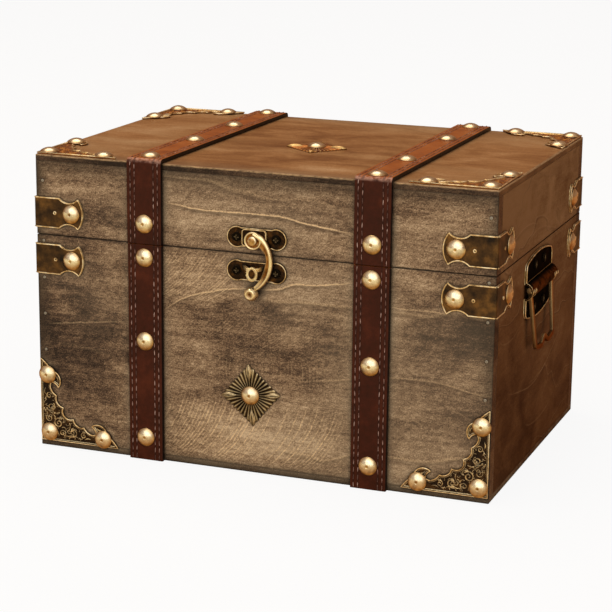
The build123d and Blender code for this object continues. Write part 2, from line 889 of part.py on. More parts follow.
# Plates on the edges and corners
for hand_y, side_y in (("front", -1), ("back", 1)):
    for hand_x, side_x in (("left", -1), ("right", 1)):
        place = f"{hand_y}_{hand_x}"
        make_edge_plate(f"base_edge_plate_{place}", side_x, side_y, base_edge_plate_z, base_edge_tacks)
        make_edge_plate(f"lid_edge_plate_{place}", side_x, side_y, lid_edge_plate_z, lid_edge_tacks)
        make_corner_plate(f"lid_corner_plate_{place}", top_corner_planes[place], top_corner_tacks)
for hand, corner_plane in front_corner_planes.items():
    make_corner_plate(f"base_corner_plate_{hand}", corner_plane, front_corner_tacks)
make_rosette("front_rosette", front_rosette_plane, front_rosette_tack)
make_rosette("top_rosette", top_rosette_plane, top_rosette_tack)

# Tacks
make_tacks("base_strap_tacks", base_strap_front_tacks, base_strap_back_tacks)
make_tacks("lid_strap_tacks", lid_strap_front_tacks, lid_strap_back_tacks, lid_strap_top_tacks)
make_tacks("base_edge_plate_tacks", *base_edge_tacks.values())
make_tacks("lid_edge_plate_tacks", *lid_edge_tacks.values())
make_tacks("base_corner_tacks", front_corner_tacks)
make_tacks("lid_corner_tacks", top_corner_tacks)
make_tacks("front_rosette_tack", front_rosette_tack)
make_tacks("top_rosette_tack", top_rosette_tack)

# Latch
make_pivot_plate()
make_rivet()
make_latch_arm()
make_catch_plate()
make_screws("latch_pivot_screws", pivot_screws)
make_screws("latch_catch_screws", catch_screws)

# Handles
for hand in ("left", "right"):
    make_handle_plate(f"handle_{hand}_plate", hand)
    make_bail(f"handle_{hand}_bail", hand)
make_screws("handle_screws", *handle_screws.values())

# Hinges
for hand, x in zip(("left", "right"), hinge_centres):
    make_hinge_leaf(f"hinge_{hand}_base_leaf", x, -1, hinge_base_screws)
    make_hinge_leaf(f"hinge_{hand}_lid_leaf", x, 1, hinge_lid_screws)
make_hinge_pins()
make_screws("hinge_base_screws", hinge_base_screws)
make_screws("hinge_lid_screws", hinge_lid_screws)
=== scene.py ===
from functools import partial
from math import atan2, cos, pi, radians, sin, tau
from random import Random

import bmesh
import bpy
from mathutils import Matrix, Vector
from mathutils.bvhtree import BVHTree


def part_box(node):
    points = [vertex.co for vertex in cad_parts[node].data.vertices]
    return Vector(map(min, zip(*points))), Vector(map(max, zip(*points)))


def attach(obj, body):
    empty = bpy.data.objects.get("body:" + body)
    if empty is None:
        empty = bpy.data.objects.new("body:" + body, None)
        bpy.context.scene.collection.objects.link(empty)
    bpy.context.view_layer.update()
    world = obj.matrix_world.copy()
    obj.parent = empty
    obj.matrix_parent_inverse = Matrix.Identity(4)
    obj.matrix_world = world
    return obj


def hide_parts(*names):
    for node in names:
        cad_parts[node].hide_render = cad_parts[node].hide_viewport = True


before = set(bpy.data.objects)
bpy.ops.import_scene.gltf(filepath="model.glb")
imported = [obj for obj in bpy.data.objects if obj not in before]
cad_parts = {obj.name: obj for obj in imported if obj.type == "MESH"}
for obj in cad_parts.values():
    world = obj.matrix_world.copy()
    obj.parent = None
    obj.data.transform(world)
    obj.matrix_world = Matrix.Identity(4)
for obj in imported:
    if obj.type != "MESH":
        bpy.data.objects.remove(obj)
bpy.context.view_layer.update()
mm = 0.001
print("frame loaded with", len(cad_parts), "parts")

# Main faces of the case, read from the frame
topLow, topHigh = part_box("lid_top_panel")
halfWidth, halfDepth, caseTop = topHigh.x, topHigh.y, topHigh.z
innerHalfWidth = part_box("base_right_board")[0].x
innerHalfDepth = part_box("base_back_board")[0].y
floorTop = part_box("base_bottom_panel")[1].z
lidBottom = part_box("lid_front_board")[0].z
frontOut, upward, rightward = Vector((0, -1, 0)), Vector((0, 0, 1)), Vector((1, 0, 0))


def hexColor(code):
    channels = [int(code[i:i + 2], 16) / 255 for i in (1, 3, 5)]
    linear = [c / 12.92 if c <= 0.04045 else ((c + 0.055) / 1.055) ** 2.4 for c in channels]
    return (*linear, 1.0)


# Adds a node; values are its own properties, values of its inputs or sources for them
def addNode(tree, kind, values=None):
    node = tree.nodes.new(kind)
    for name, value in (values or {}).items():
        if isinstance(value, bpy.types.NodeSocket):
            tree.links.new(value, node.inputs[name])
        elif isinstance(name, str) and hasattr(node, name):
            setattr(node, name, value)
        else:
            isColor = isinstance(value, str) and value.startswith("#")
            node.inputs[name].default_value = hexColor(value) if isColor else value
    return node


# Steps used most: the node, its settings, the inputs that the terms fill and the output used
stepKinds = {
    "range": ("ShaderNodeMapRange", {}, ("Value", "From Min", "From Max", "To Min", "To Max"), 0),
    "over": ("ShaderNodeMix", {"data_type": "RGBA"}, (0, 6, 7), 2),
    "noise": ("ShaderNodeTexNoise", {}, ("Vector", "Scale", "Detail", "Roughness", "Distortion"), 0),
    "bump": ("ShaderNodeBump", {}, ("Strength", "Distance", "Height", "Normal"), 0),
    "length": ("ShaderNodeVectorMath", {"operation": "LENGTH"}, (0,), "Value"),
    "dot": ("ShaderNodeVectorMath", {"operation": "DOT_PRODUCT"}, (0, 1), "Value"),
}


# Adds one of these steps, or a sum by its operation's name, and gives the result
def addStep(tree, name, *terms):
    if name in ("ADD", "MULTIPLY", "MAXIMUM") and len(terms) > 2:
        terms = (addStep(tree, name, *terms[:-1]), terms[-1])
    sums = ("ShaderNodeMath", {"operation": name}, (0, 1, 2), 0)
    kind, settings, places, result = stepKinds.get(name, sums)
    return addNode(tree, kind, {**settings, **dict(zip(places, terms))}).outputs[result]


# Colours along a factor, from (place, colour) stops
def addTones(tree, factor, stops):
    ramp = addNode(tree, "ShaderNodeValToRGB", {0: factor})
    elements = ramp.color_ramp.elements
    elements[0].position, elements[1].position = stops[0][0], stops[-1][0]
    for place, code in stops[1:-1]:
        elements.new(place)
    for element, (place, code) in zip(elements, stops):
        element.color = hexColor(code)
    return ramp.outputs[0]


# A new material, with the three ways to add to its nodes
def newMaterial(name):
    material = bpy.data.materials.new(name)
    material.use_nodes = True
    tree = material.node_tree
    tree.nodes.clear()
    return material, partial(addNode, tree), partial(addStep, tree), partial(addTones, tree)


def finishMaterial(material, add, values):
    shader = add("ShaderNodeBsdfPrincipled", values)
    add("ShaderNodeOutputMaterial", {"Surface": shader.outputs[0]})
    return material


def axesOf(add, source):
    return dict(zip("XYZ", add("ShaderNodeSeparateXYZ", {0: source}).outputs))


# The normal with its edges rounded, and how far it agrees with the true one
def roundEdges(add, step, samples, radius):
    rounded = add("ShaderNodeBevel", {"samples": samples, "Radius": radius * mm}).outputs[0]
    return rounded, step("dot", rounded, add("ShaderNodeNewGeometry").outputs["True Normal"])


# Stained veneer of pine ply: fine speckle, blotchy wash, thin pale growth lines, faint arcs of the saw
def makeWood(name, look):
    material, add, step, tones = newMaterial(name)
    place = add("ShaderNodeTexCoord").outputs
    at, facing = axesOf(add, place["Object"]), axesOf(add, place["Normal"])
    wide, deep = step("ABSOLUTE", at["X"]), step("ABSOLUTE", at["Y"])
    darkest = look["stain"][0][1]

    def grained(size, detail=3.0, rough=0.5, wander=0.0, shift=0.0, slant=0.0):
        scale = [1 / (size[1] * mm)] * 3
        scale["XYZ".index(look["grain"])] = 1 / (size[0] * mm)
        source = place["Object"]
        if slant:
            source = add("ShaderNodeMapping", {"Rotation": (0, radians(slant), 0), "Vector": source}).outputs[0]
        shifts = (look["shift"] + shift,) * 3
        mapped = add("ShaderNodeMapping", {"Scale": scale, "Location": shifts, "Vector": source})
        return step("noise", mapped.outputs[0], 1.0, detail, rough, wander)

    speck, fleck = grained(look["speckSize"], 2.0, 0.7), grained(look["fleckSize"], 4.0, 0.72)
    streak, blotch = grained(look["streakSize"], 3.0, 0.55, 0.4), grained(look["blotchSize"], 5.0, 0.62, 0.6)
    broad = grained(look["broadSize"], 2.0, 0.5, 0.3)
    noises = {"speck": speck, "fleck": fleck, "streak": streak, "blotch": blotch, "broad": broad}
    if "brush" in look["shares"]:
        noises["brush"] = grained(look["brushSize"], 3.0, 0.6, 0.0, 9.0, look["brushSlant"])
    tone = 0.5 - 0.5 * sum(look["shares"].values())
    for key, share in look["shares"].items():
        tone = step("MULTIPLY_ADD", noises[key], share, tone)
    low, high, change = look["rise"]
    tone = step("ADD", tone, step("range", at["Z"], low * mm, high * mm, 0.0, change))
    # Places where the wash was wiped, and on the front a painted shadow below the hook's ball: (x, place across,
    # reach in x, reach across, darker or lighter)
    side = "XYZ".index(look["across"])
    for x, across, reachX, reachAcross, change in look["patches"]:
        scale = [1 / (reachX * mm)] + [1 / (1.5 * halfDepth)] * 2
        middle = [x * mm, -halfDepth, caseTop]
        scale[side], middle[side] = 1 / (reachAcross * mm), across * mm
        location = [-size * spot for size, spot in zip(scale, middle)]
        near = add("ShaderNodeMapping", {"Scale": scale, "Location": location, "Vector": place["Object"]})
        ragged = step("MULTIPLY_ADD", blotch, 1.6, step("length", near.outputs[0]))
        tone = step("MULTIPLY_ADD", step("range", ragged, 1.9, 0.9), change, tone)
    stain = tones(tone, look["stain"])
    stain = step("over", step("range", broad, 0.45, 0.62, 0.0, look["dustShare"]), stain, look["dust"])

    # Growth lines that wander along the grain, each pale with a painted shadow along one side, and come and go
    across = step("MULTIPLY", at[look["across"]], 1 / (look["lineGap"] * mm))
    sway = grained(look["lineSway"], 2.0, 0.45, 0.5, 4.0)
    ring = step("MULTIPLY_ADD", sway, look["lineWander"], across)
    seen = step("MULTIPLY", step("range", broad, 0.42, 0.6), look["lineShare"], step("range", speck, 0.35, 0.55))
    for offset, code, width in ((0.0, look["line"], 0.025), (0.03, darkest, 0.04)):
        near = step("range", step("PINGPONG", step("ADD", ring, offset), 0.5), width, 0.0)
        stain = step("over", step("MULTIPLY", near, seen), stain, code)

    # The growth lines that this face shows, each through a few points along it and up it
    lineFace = step("range", step("MULTIPLY", facing[look["linesFace"]], look["linesSign"]), 0.5, 0.9)
    for strength, line in look["frontLines"]:
        (start, firstZ), (end, lastZ) = line[0], line[-1]
        low, high = min(z for x, z in line) - 1, max(z for x, z in line) + 1
        share = step("range", at[look["grain"]], start * mm, end * mm)
        course = add("ShaderNodeFloatCurve", {"Value": share})
        points = course.mapping.curves[0].points
        for x, z in line[1:-1]:
            points.new((x - start) / (end - start), (z - low) / (high - low))
        for point, z in ((points[0], firstZ), (points[len(points) - 1], lastZ)):
            point.location.y = (z - low) / (high - low)
        course.mapping.update()
        height = step("range", course.outputs[0], 0.0, 1.0, low * mm, high * mm)
        wiggle = step("MULTIPLY_ADD", fleck, 1.6 * mm, height)
        away = step("SUBTRACT", at["Z"], step("ADD", wiggle, -0.8 * mm))
        drawn = step(
            "MULTIPLY", step("range", share, 0.0, 0.15), step("range", share, 1.0, 0.85), lineFace,
            step("range", speck, 0.3, 0.55, 0.2 * strength, strength),
        )
        # Painted shadow: a dark band just below each line
        below = step("range", step("ABSOLUTE", step("ADD", away, 1.0 * mm)), 1.6 * mm, 0.2 * mm, 0.0, 0.5)
        stain = step("over", step("MULTIPLY", below, drawn), stain, darkest)
        near = step("range", step("ABSOLUTE", away), 0.5 * mm, 0.1 * mm)
        stain = step("over", step("MULTIPLY", near, drawn), stain, look["line"])

    # Arcs of the saw: one circle that steps along the board, each stroke of its own strength
    for centreZ, lowZ, highZ, midX, reachX, strength in look["sawStrokes"]:
        drop = step("ADD", at["Z"], -centreZ * mm)
        inner = step("SUBTRACT", (look["sawRadius"] * mm) ** 2, step("MULTIPLY", drop, drop))
        bow = step("SQRT", step("MAXIMUM", inner, 0.0))
        travel = step("MULTIPLY", step("SUBTRACT", at["X"], bow), 1 / (look["sawGap"] * mm))
        travel = step("MULTIPLY_ADD", streak, 0.8, travel)
        count = step("ROUND", travel)
        force = add("ShaderNodeTexWhiteNoise", {"noise_dimensions": "1D", "W": count}).outputs["Value"]
        stroke = step("range", step("ABSOLUTE", step("SUBTRACT", travel, count)), 0.26, 0.04)
        middleZ, halfZ = (lowZ + highZ) / 2 * mm, (highZ - lowZ) / 2 * mm
        inZ = step("range", step("ABSOLUTE", step("ADD", at["Z"], -middleZ)), halfZ, halfZ / 2)
        inX = step("range", step("ABSOLUTE", step("ADD", at["X"], -midX * mm)), reachX * mm, 0.7 * reachX * mm)
        stroke = step("MULTIPLY", stroke, force, inZ, inX, strength, step("range", fleck, 0.35, 0.6))
        stain = step("over", stroke, stain, look["line"])

    # Along the edges, corners and borders of the boards the colour changes: darker on the front and sides; on
    # the lid's top the edges are pale, worn and with a painted highlight, beside a greyer band
    rounded, agreement = roundEdges(add, step, 4, look["edgeReach"])
    soaked = step("MULTIPLY", step("range", agreement, 0.999, 0.85), step("range", blotch, 0.3, 0.6, 0.3, 0.9))
    stain = step("over", soaked, stain, look["edge"])
    reach, share = look["borderReach"] * mm, look["borderShare"]
    borders = {
        "wide": (wide, halfWidth - reach, halfWidth), "deep": (deep, halfDepth - reach, halfDepth),
        "high": (at["Z"], caseTop - 1.4 * reach, caseTop - 0.3 * reach), "low": (at["Z"], 0.8 * reach, 0.0),
    }
    border = step("MAXIMUM", 0.0, *(step("range", *borders[key]) for key in look["borders"]))
    border = step("MULTIPLY", border, step("range", blotch, 0.3, 0.6, 0.35 * share, share))
    stain = step("over", border, stain, look["border"])

    # Faces turned another way carry that face's stain
    for axis, (stops, change) in look["turnedFaces"].items():
        turned = step("range", step("ABSOLUTE", facing[axis]), 0.6, 0.8)
        stain = step("over", turned, stain, tones(step("ADD", tone, change), stops))
    # A pale lip just under the top's edge: worn, and a painted highlight
    if look["lip"]:
        lip = step(
            "MULTIPLY", step("range", at["Z"], caseTop - 1.0 * mm, caseTop - 0.4 * mm),
            step("range", fleck, 0.35, 0.6, 0.2, 0.9), step("range", facing["Z"], 0.9, 0.5),
        )
        stain = step("over", lip, stain, look["lip"])

    # Bare wood inside the case
    slack = 0.05 * mm
    inside = step(
        "MULTIPLY",
        step("LESS_THAN", wide, innerHalfWidth + slack), step("LESS_THAN", deep, innerHalfDepth + slack),
        step("GREATER_THAN", at["Z"], floorTop - slack), step("LESS_THAN", at["Z"], topLow.z + slack),
    )
    bareTone = step("MULTIPLY_ADD", fleck, 0.4, step("MULTIPLY", streak, 0.6))
    stain = step("over", inside, stain, tones(bareTone, look["bare"]))

    # Grey wax left in a soft band beside straps and plates, and dark grime with painted shade against them, both
    # placed by how hidden each point is (ambient occlusion)
    shade = add("ShaderNodeAmbientOcclusion", {"samples": 6, "Distance": look["dirtAndShadeReach"] * mm}).outputs["AO"]
    waxy = step("range", blotch, 0.4, 0.6, 0.0, look["waxShare"])
    stain = step("over", step("MULTIPLY", step("range", shade, 0.99, 0.8), waxy), stain, look["dust"])
    stain = step("over", step("range", shade, 0.85, 0.5, 0.0, look["dirtAndShadeShare"]), stain, look["dirtAndShade"])

    # Flecks raise the surface, and the stain leaves dull and satin patches
    relief = step("MULTIPLY_ADD", speck, 0.6, fleck)
    return finishMaterial(material, add, {
        "IOR": 1.5, "Specular IOR Level": look["specular"], "Base Color": stain,
        "Roughness": step("range", blotch, 0.3, 0.7, *look["gloss"]),
        "Normal": step("bump", look["reliefShare"], look["relief"] * mm, relief, rounded),
    })


# Stains of the three kinds of face, from dark to light
frontStain = ((0.0, "#281E16"), (0.28, "#564231"), (0.5, "#81684E"), (0.72, "#A58C6D"), (1.0, "#CFB694"))
topStain = ((0.0, "#603519"), (0.35, "#84562E"), (0.6, "#A57446"), (1.0, "#D0AB82"))
sideStain = ((0.0, "#27140A"), (0.35, "#492A15"), (0.65, "#674326"), (1.0, "#8C6744"))

# Front, back and bottom: pine with a grey-brown wash, mottled along the grain
washedLook = {
    "grain": "X", "across": "Z", "shift": 3.0, "stain": frontStain, "line": "#E4C496", "edge": "#2C2620",
    "lip": None, "dirtAndShade": "#1C150E", "dust": "#7D6F5A", "dustShare": 0.22, "waxShare": 0.55,
    "border": "#30271C", "borders": ("wide", "high", "low"), "borderReach": 8, "borderShare": 0.95,
    "turnedFaces": {"X": (sideStain, 0.0)}, "bare": ((0.3, "#9A7248"), (0.5, "#BB9464"), (0.7, "#D0AE80")),
    "speckSize": (0.7, 0.5), "fleckSize": (2.6, 0.9), "brushSize": (3.2, 0.7), "brushSlant": 48,
    "streakSize": (46, 3.4), "blotchSize": (30, 18), "broadSize": (120, 60),
    "shares": {"speck": 1.3, "fleck": 1.0, "brush": 0.4, "streak": 0.6, "blotch": 0.75, "broad": 0.25},
    "patches": (
        (-88, 34, 22, 8, -0.12), (-100, 46, 10, 14, -0.12), (-109, 64, 10, 32, -0.24), (-97, 38, 9, 4, 0.22),
        # (6, 79): a painted shadow below the hook's ball, with a smudge
        (-14, 80, 11, 6, -0.24), (6, 79, 12, 6, -0.36), (-88, 60, 34, 62, -0.3), (-90, 122, 34, 30, -0.06),
        (90, 60, 34, 44, -0.16), (0, 60, 44, 22, -0.14), (24, 104, 12, 12, -0.12), (-92, 127, 20, 7, 0.14),
        (-18, 120, 30, 9, 0.26), (0, 18, 46, 18, 0.3), (30, 112, 22, 8, 0.14), (92, 122, 22, 14, 0.2),
        (-30, 92, 18, 14, 0.12), (20, 88, 26, 12, 0.14), (74, 74, 16, 8, -0.2), (106, 76, 12, 12, -0.3),
        (95, 55, 22, 8, 0.12), (75, 14, 10, 12, 0.12),
    ),
    "frontLines": (
        (1.0, (
            (-49, 125.3), (-36, 124), (-30, 123.2), (1, 123.2), (13, 122.8), (21, 121.2), (30, 120), (50, 117.5),
        )),
        (0.85, (
            (-49, 72), (-41, 78), (-33.5, 82), (-23, 85), (-11, 87.5), (10, 89.2), (18.6, 92.3), (28, 92.8),
            (50, 96.5),
        )),
        (0.45, ((62, 87.5), (69, 86), (79, 86.2), (92, 85.6))), (0.25, ((-108, 61), (-87, 63.8), (-64, 66.6))),
    ),
    "linesFace": "Y", "linesSign": -1, "lineGap": 38, "lineSway": (95, 60), "lineWander": 1.3,
    "lineShare": 0.35, "sawRadius": 56, "sawGap": 1.8,
    "sawStrokes": ((47.7, 1, 36, -2, 50, 1.0), (130, 76, 106, -32, 22, 0.7), (110, 42, 78, 6, 34, 0.25)),
    "rise": (0, 140, 0.0), "edgeReach": 1.2, "dirtAndShadeReach": 5, "dirtAndShadeShare": 0.9, "relief": 0.12,
    "reliefShare": 0.6, "specular": 0.15, "gloss": (0.7, 0.5),
}
# Lid top: warmer brown stain, satin, greyer towards its front edge, its edges pale: worn, and with a painted
# highlight
topLook = {
    **washedLook, "across": "Y", "shift": 7.0, "stain": topStain, "line": "#BE9873", "edge": "#BFA78A",
    "dust": "#A4845E", "dustShare": 0.3, "border": "#8E765A",
    "patches": (
        (90, 0, 30, 60, 0.1), (-90, 0, 30, 60, 0.16), (0, 40, 50, 30, -0.08), (-10, -10, 50, 40, -0.1),
        (30, -60, 26, 12, 0.34), (20, -30, 14, 8, -0.12),
    ),
    "frontLines": (), "sawStrokes": (), "lip": "#C8A478",
    "turnedFaces": {"X": (sideStain, 0.0), "Y": (frontStain, -0.3)},
    "borders": ("deep",), "borderReach": 14, "borderShare": 0.6, "lineShare": 0.25, "lineGap": 50,
    "shares": {"speck": 0.9, "fleck": 0.6, "streak": 0.3, "blotch": 1.0, "broad": 0.4}, "specular": 0.1,
    "gloss": (0.44, 0.34), "reliefShare": 0.35,
}
# Sides: dark red-brown stain with faint paler lines that curl
sideLook = {
    **washedLook, "grain": "Y", "shift": 2.0, "stain": sideStain, "line": "#A8805A", "edge": "#241409",
    "dirtAndShade": "#140B06", "dust": "#6B4426", "dustShare": 0.3, "waxShare": 0.2, "border": "#24140A",
    "patches": (), "sawStrokes": (), "turnedFaces": {}, "linesFace": "X", "linesSign": 1,
    "borders": ("deep", "low"), "borderReach": 5, "borderShare": 0.6,
    "frontLines": (
        (0.3, ((-52, 44), (-30, 39.5), (-8, 37), (10, 39), (32, 46), (52, 54))),
        (0.3, ((-62, 110), (-44, 116), (-26, 117.5), (-6, 114))),
        (0.22, ((-30, 104), (-8, 112), (16, 109), (44, 100))),
        (0.2, ((-70, 74), (-52, 69), (-34, 72))), (0.2, ((-20, 22), (6, 16), (34, 20))),
    ),
    "lineGap": 24, "lineSway": (55, 42), "lineWander": 3.2, "lineShare": 0.5, "rise": (60, 115, 0.4),
    "gloss": (0.7, 0.55), "specular": 0.02, "reliefShare": 0.3, "edgeReach": 0.7,
    "shares": {"speck": 0.5, "fleck": 0.5, "streak": 0.3, "blotch": 0.9, "broad": 0.7},
}

# Smooth dressed cowhide in red-brown, painted lighter on top as if lit from above, rubbed pale where it bends,
# with a painted highlight there
strapLook = {
    "front": ((0.3, "#2C1004"), (0.5, "#3C1607"), (0.72, "#52230F")),
    "top": ((0.3, "#74340F"), (0.5, "#9E5420"), (0.72, "#BA7034")),
    "rubbedAndLit": "#C79A86", "cut": "#1E1410", "row": "#22100A", "creaseSize": 2.4, "mottleSize": 16,
    "grainSize": 0.8, "relief": 0.12, "rowOffsets": (6.9, 4.8), "rowWidth": 0.35, "bendHighlightReach": 2.2,
}


def makeStrapLeather(name, look):
    material, add, step, tones = newMaterial(name)
    place = add("ShaderNodeTexCoord").outputs
    at, facing = axesOf(add, place["Object"]), axesOf(add, place["Normal"])
    creases = step("noise", place["Object"], 1 / (look["creaseSize"] * mm), 5.0, 0.6)
    mottle = step("noise", place["Object"], 1 / (look["mottleSize"] * mm), 4.0, 0.6)
    tone = step("MULTIPLY_ADD", creases, 0.35, step("MULTIPLY", mottle, 0.65))
    grain = add("ShaderNodeTexVoronoi", {
        "feature": "DISTANCE_TO_EDGE", "Scale": 1 / (look["grainSize"] * mm), "Vector": place["Object"],
    }).outputs["Distance"]
    # The top is painted lighter and more orange, as if lit from above
    litTop = step("range", facing["Z"], 0.45, 0.95)
    color = step("over", litTop, tones(tone, look["front"]), tones(tone, look["top"]))

    # Grooves that the stitch rows pull into the leather, darkened with painted shade
    strapLow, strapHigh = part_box("base_strap_front_right")
    fromMiddle = step("SUBTRACT", step("ABSOLUTE", at["X"]), (strapLow.x + strapHigh.x) / 2)
    fromMiddle = step("ABSOLUTE", fromMiddle)
    width = look["rowWidth"] * mm
    groove = 0.0
    for offset in look["rowOffsets"]:
        away = step("ABSOLUTE", step("SUBTRACT", fromMiddle, offset * mm))
        groove = step("ADD", groove, step("range", away, 2 * width, 0.5 * width))
    color = step("over", step("MULTIPLY", groove, 0.55), color, look["row"])

    # The bend over the lid's edge, rubbed pale and with a painted highlight
    strapFace, strapTop, near = -strapLow.y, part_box("lid_strap_left")[1].z, look["bendHighlightReach"] * mm
    bend = step(
        "MULTIPLY",
        step("range", step("ABSOLUTE", at["Y"]), strapFace - near, strapFace - 0.5 * near),
        step("range", at["Z"], strapTop - near, strapTop - 0.35 * near),
        step("range", creases, 0.4, 0.6, 0.05, 0.75),
    )
    color = step("over", bend, color, look["rubbedAndLit"])

    # Cut edges are dyed nearly black
    color = step("over", step("range", step("ABSOLUTE", facing["X"]), 0.5, 0.85), color, look["cut"])
    height = step("SUBTRACT", step("MINIMUM", grain, 0.25), groove)
    height = step("MULTIPLY_ADD", creases, 0.8, height)
    rounded = roundEdges(add, step, 4, 0.7)[0]
    return finishMaterial(material, add, {
        "IOR": 1.5, "Specular IOR Level": 0.12, "Base Color": color,
        "Roughness": step("range", creases, 0.3, 0.7, 0.3, 0.46),
        "Normal": step("bump", 0.5, look["relief"] * mm, height, rounded),
    })


# Waxed linen thread, dusty pink-brown, soiled unevenly, with a fine twist
def makeThread(name, stops):
    material, add, step, tones = newMaterial(name)
    place = add("ShaderNodeTexCoord").outputs["Object"]
    soil, twist = step("noise", place, 1 / (4 * mm)), step("noise", place, 1 / (0.3 * mm))
    return finishMaterial(material, add, {
        "Roughness": 0.8, "IOR": 1.5, "Base Color": tones(soil, stops),
        "Normal": step("bump", 0.4, 0.08 * mm, twist),
    })


# Brass with an antique finish: dark in the hollows, rubbed bright where hands and cloth reach.
# CAD parts show the rubbing along their edges; made pieces carry it as a value named wear, which on the tacks,
# hook and bails also holds painted highlight and shade.
def makeAntiqueBrass(name, look, wornByShape=False):
    material, add, step, tones = newMaterial(name)
    place = add("ShaderNodeTexCoord").outputs
    cloud = step("noise", place["Object"], 1 / (look["cloudSize"] * mm), 5.0, 0.6)
    speck = step("noise", place["Object"], 1 / (look["speckSize"] * mm), 3.0, 0.6)
    shade = add("ShaderNodeAmbientOcclusion", {
        "samples": 6, "only_local": True, "Distance": look["hollowReach"] * mm,
    }).outputs["AO"]
    hollow = step("range", shade, 0.95, 0.5, 0.0, 0.9)
    color = step("over", hollow, tones(cloud, look["patina"]), look["hollow"])
    bumpTerms = [0.4, look["relief"] * mm, speck]
    if wornByShape:
        wear = add("ShaderNodeAttribute", {"attribute_name": "wear"}).outputs["Fac"]
        # Faces turned down are less worn and darker: painted shade under them
        facingUp = axesOf(add, place["Normal"])["Z"]
        wear = step("MULTIPLY", wear, step("range", facingUp, 0.1, -0.5, 1.0, look["undersideWearAndShade"]))
    else:
        rounded, agreement = roundEdges(add, step, 8, look["rimSize"])
        wear = step("range", agreement, 0.995, 0.86)
        bumpTerms.append(rounded)
    patchy = step("range", step("MULTIPLY_ADD", cloud, 0.6, speck), 0.6, 1.0, *look["rubbing"])
    wear = step("MULTIPLY", wear, patchy)
    if look["proud"]:  # parts that stand far off the sides have another colour
        reach, code = look["proud"]
        beyond = step("ABSOLUTE", axesOf(add, place["Object"])["X"])
        beyond = step("range", beyond, halfWidth + reach * mm, halfWidth + (reach + 1.5) * mm)
        color = step("over", step("MULTIPLY", beyond, step("range", cloud, 0.35, 0.6)), color, code)
    return finishMaterial(material, add, {
        "Metallic": look["metal"], "Specular Tint": look["glancing"],
        "Base Color": step("over", wear, color, look["rim"]),
        "Roughness": step("range", wear, 0.0, 1.0, *look["gloss"]), "Normal": step("bump", *bumpTerms),
    })


plateLook = {
    "patina": ((0.34, "#1E140A"), (0.5, "#4A3319"), (0.68, "#7A5528")), "hollow": "#120C06", "rim": "#F4DDAE",
    "cloudSize": 8, "speckSize": 0.7, "hollowReach": 1.4, "rimSize": 0.5, "relief": 0.06, "gloss": (0.5, 0.3),
    "metal": 0.8, "rubbing": (0.5, 1.0), "undersideWearAndShade": 0.4, "proud": None, "glancing": "#FFFFFF",
}
latchLook = {
    **plateLook, "patina": ((0.3, "#120A04"), (0.5, "#2A1A0B"), (0.7, "#5E3C18")), "cloudSize": 3,
    "rim": "#FBDDA2", "gloss": (0.42, 0.26), "metal": 0.9,
}
castLook = {
    **latchLook, "patina": ((0.3, "#4C2A0D"), (0.5, "#8C5820"), (0.7, "#B98340")), "rim": "#FFEBBA",
    "rubbing": (0.75, 1.0), "hollow": "#1C0E05", "gloss": (0.3, 0.17),
}
catchLook = {**latchLook, "rim": "#FFEBBA", "rubbing": (0.8, 1.0), "gloss": (0.36, 0.18)}
# Nearly black plates whose proud bead is copper, and bails with a coppery sheen
handleLook = {
    **plateLook, "patina": ((0.3, "#0A0603"), (0.5, "#180E06"), (0.7, "#40260E")), "cloudSize": 6,
    "rim": "#F6D6A4", "gloss": (0.42, 0.3), "metal": 0.95, "proud": (2.2, "#8E5A2A"), "glancing": "#4A3220",
}
bailLook = {
    **handleLook, "patina": ((0.3, "#2A1608"), (0.5, "#5A3414"), (0.7, "#8E5A28")), "rim": "#FFE0A8",
    "proud": None, "rubbing": (0.9, 1.0), "glancing": "#D09A68",
}
# Rubbed rims and reliefs: the bright metal under the patina, with dark left in spots
rimLook = {
    **plateLook, "patina": ((0.34, "#6A461C"), (0.46, "#D2AA6A"), (0.62, "#FCEAC2")), "cloudSize": 3,
    "gloss": (0.34, 0.26), "metal": 0.8,
}
rosetteLook = {
    **plateLook, "patina": ((0.3, "#1A1108"), (0.5, "#38270F"), (0.7, "#5C421F")), "hollow": "#0C0704",
    "cloudSize": 5, "hollowReach": 0.9, "metal": 0.9,
}
scrollLook = {
    **plateLook, "patina": ((0.36, "#241708"), (0.5, "#6A4C24"), (0.62, "#E2C488")), "cloudSize": 2,
    "gloss": (0.4, 0.28),
}
cornerLook = {
    **plateLook, "patina": ((0.3, "#150D06"), (0.5, "#2C1D0D"), (0.7, "#573C1A")), "cloudSize": 4, "relief": 0.1,
}
# Lacquer that turned copper-brown where the lid's top is handled
copperLook = {
    **plateLook, "patina": ((0.3, "#6E3208"), (0.5, "#9E541A"), (0.7, "#C07A34")), "hollow": "#3A1A06",
    "rim": "#F2D08A", "cloudSize": 5, "gloss": (0.32, 0.26), "metal": 0.9,
}
copperScrollLook = {
    **copperLook, "patina": ((0.3, "#5A2A08"), (0.52, "#9A581C"), (0.7, "#D09A50")), "cloudSize": 2,
    "rim": "#C88A40",
}
# Gilt tacks: pale gold crown, orange-brown lacquer left round the rim and in the centre dimple; the dark round
# the rim is also painted shade
giltLook = {
    **plateLook, "patina": ((0.3, "#68400F"), (0.5, "#AE7E36"), (0.7, "#DAB06A")), "hollow": "#3C2208",
    "rim": "#FFF6D8", "cloudSize": 2.5, "gloss": (0.28, 0.22), "metal": 1.0, "rubbing": (0.6, 1.0),
    "undersideWearAndShade": 0.15,
}


# Blackened screws and pale pin ends, brighter along their edges
def makeSteel(name, stops):
    material, add, step, tones = newMaterial(name)
    cloud = step("noise", add("ShaderNodeTexCoord").outputs["Object"], 1 / (1.2 * mm), 4.0)
    rounded, agreement = roundEdges(add, step, 6, 0.3)
    mask = step("MULTIPLY", step("range", agreement, 0.99, 0.8), cloud)
    return finishMaterial(material, add, {
        "Metallic": 0.8, "Roughness": 0.4, "Specular Tint": stops[0][1], "Base Color": tones(mask, stops),
        "Normal": step("bump", 0.3, 0.05 * mm, cloud, rounded),
    })


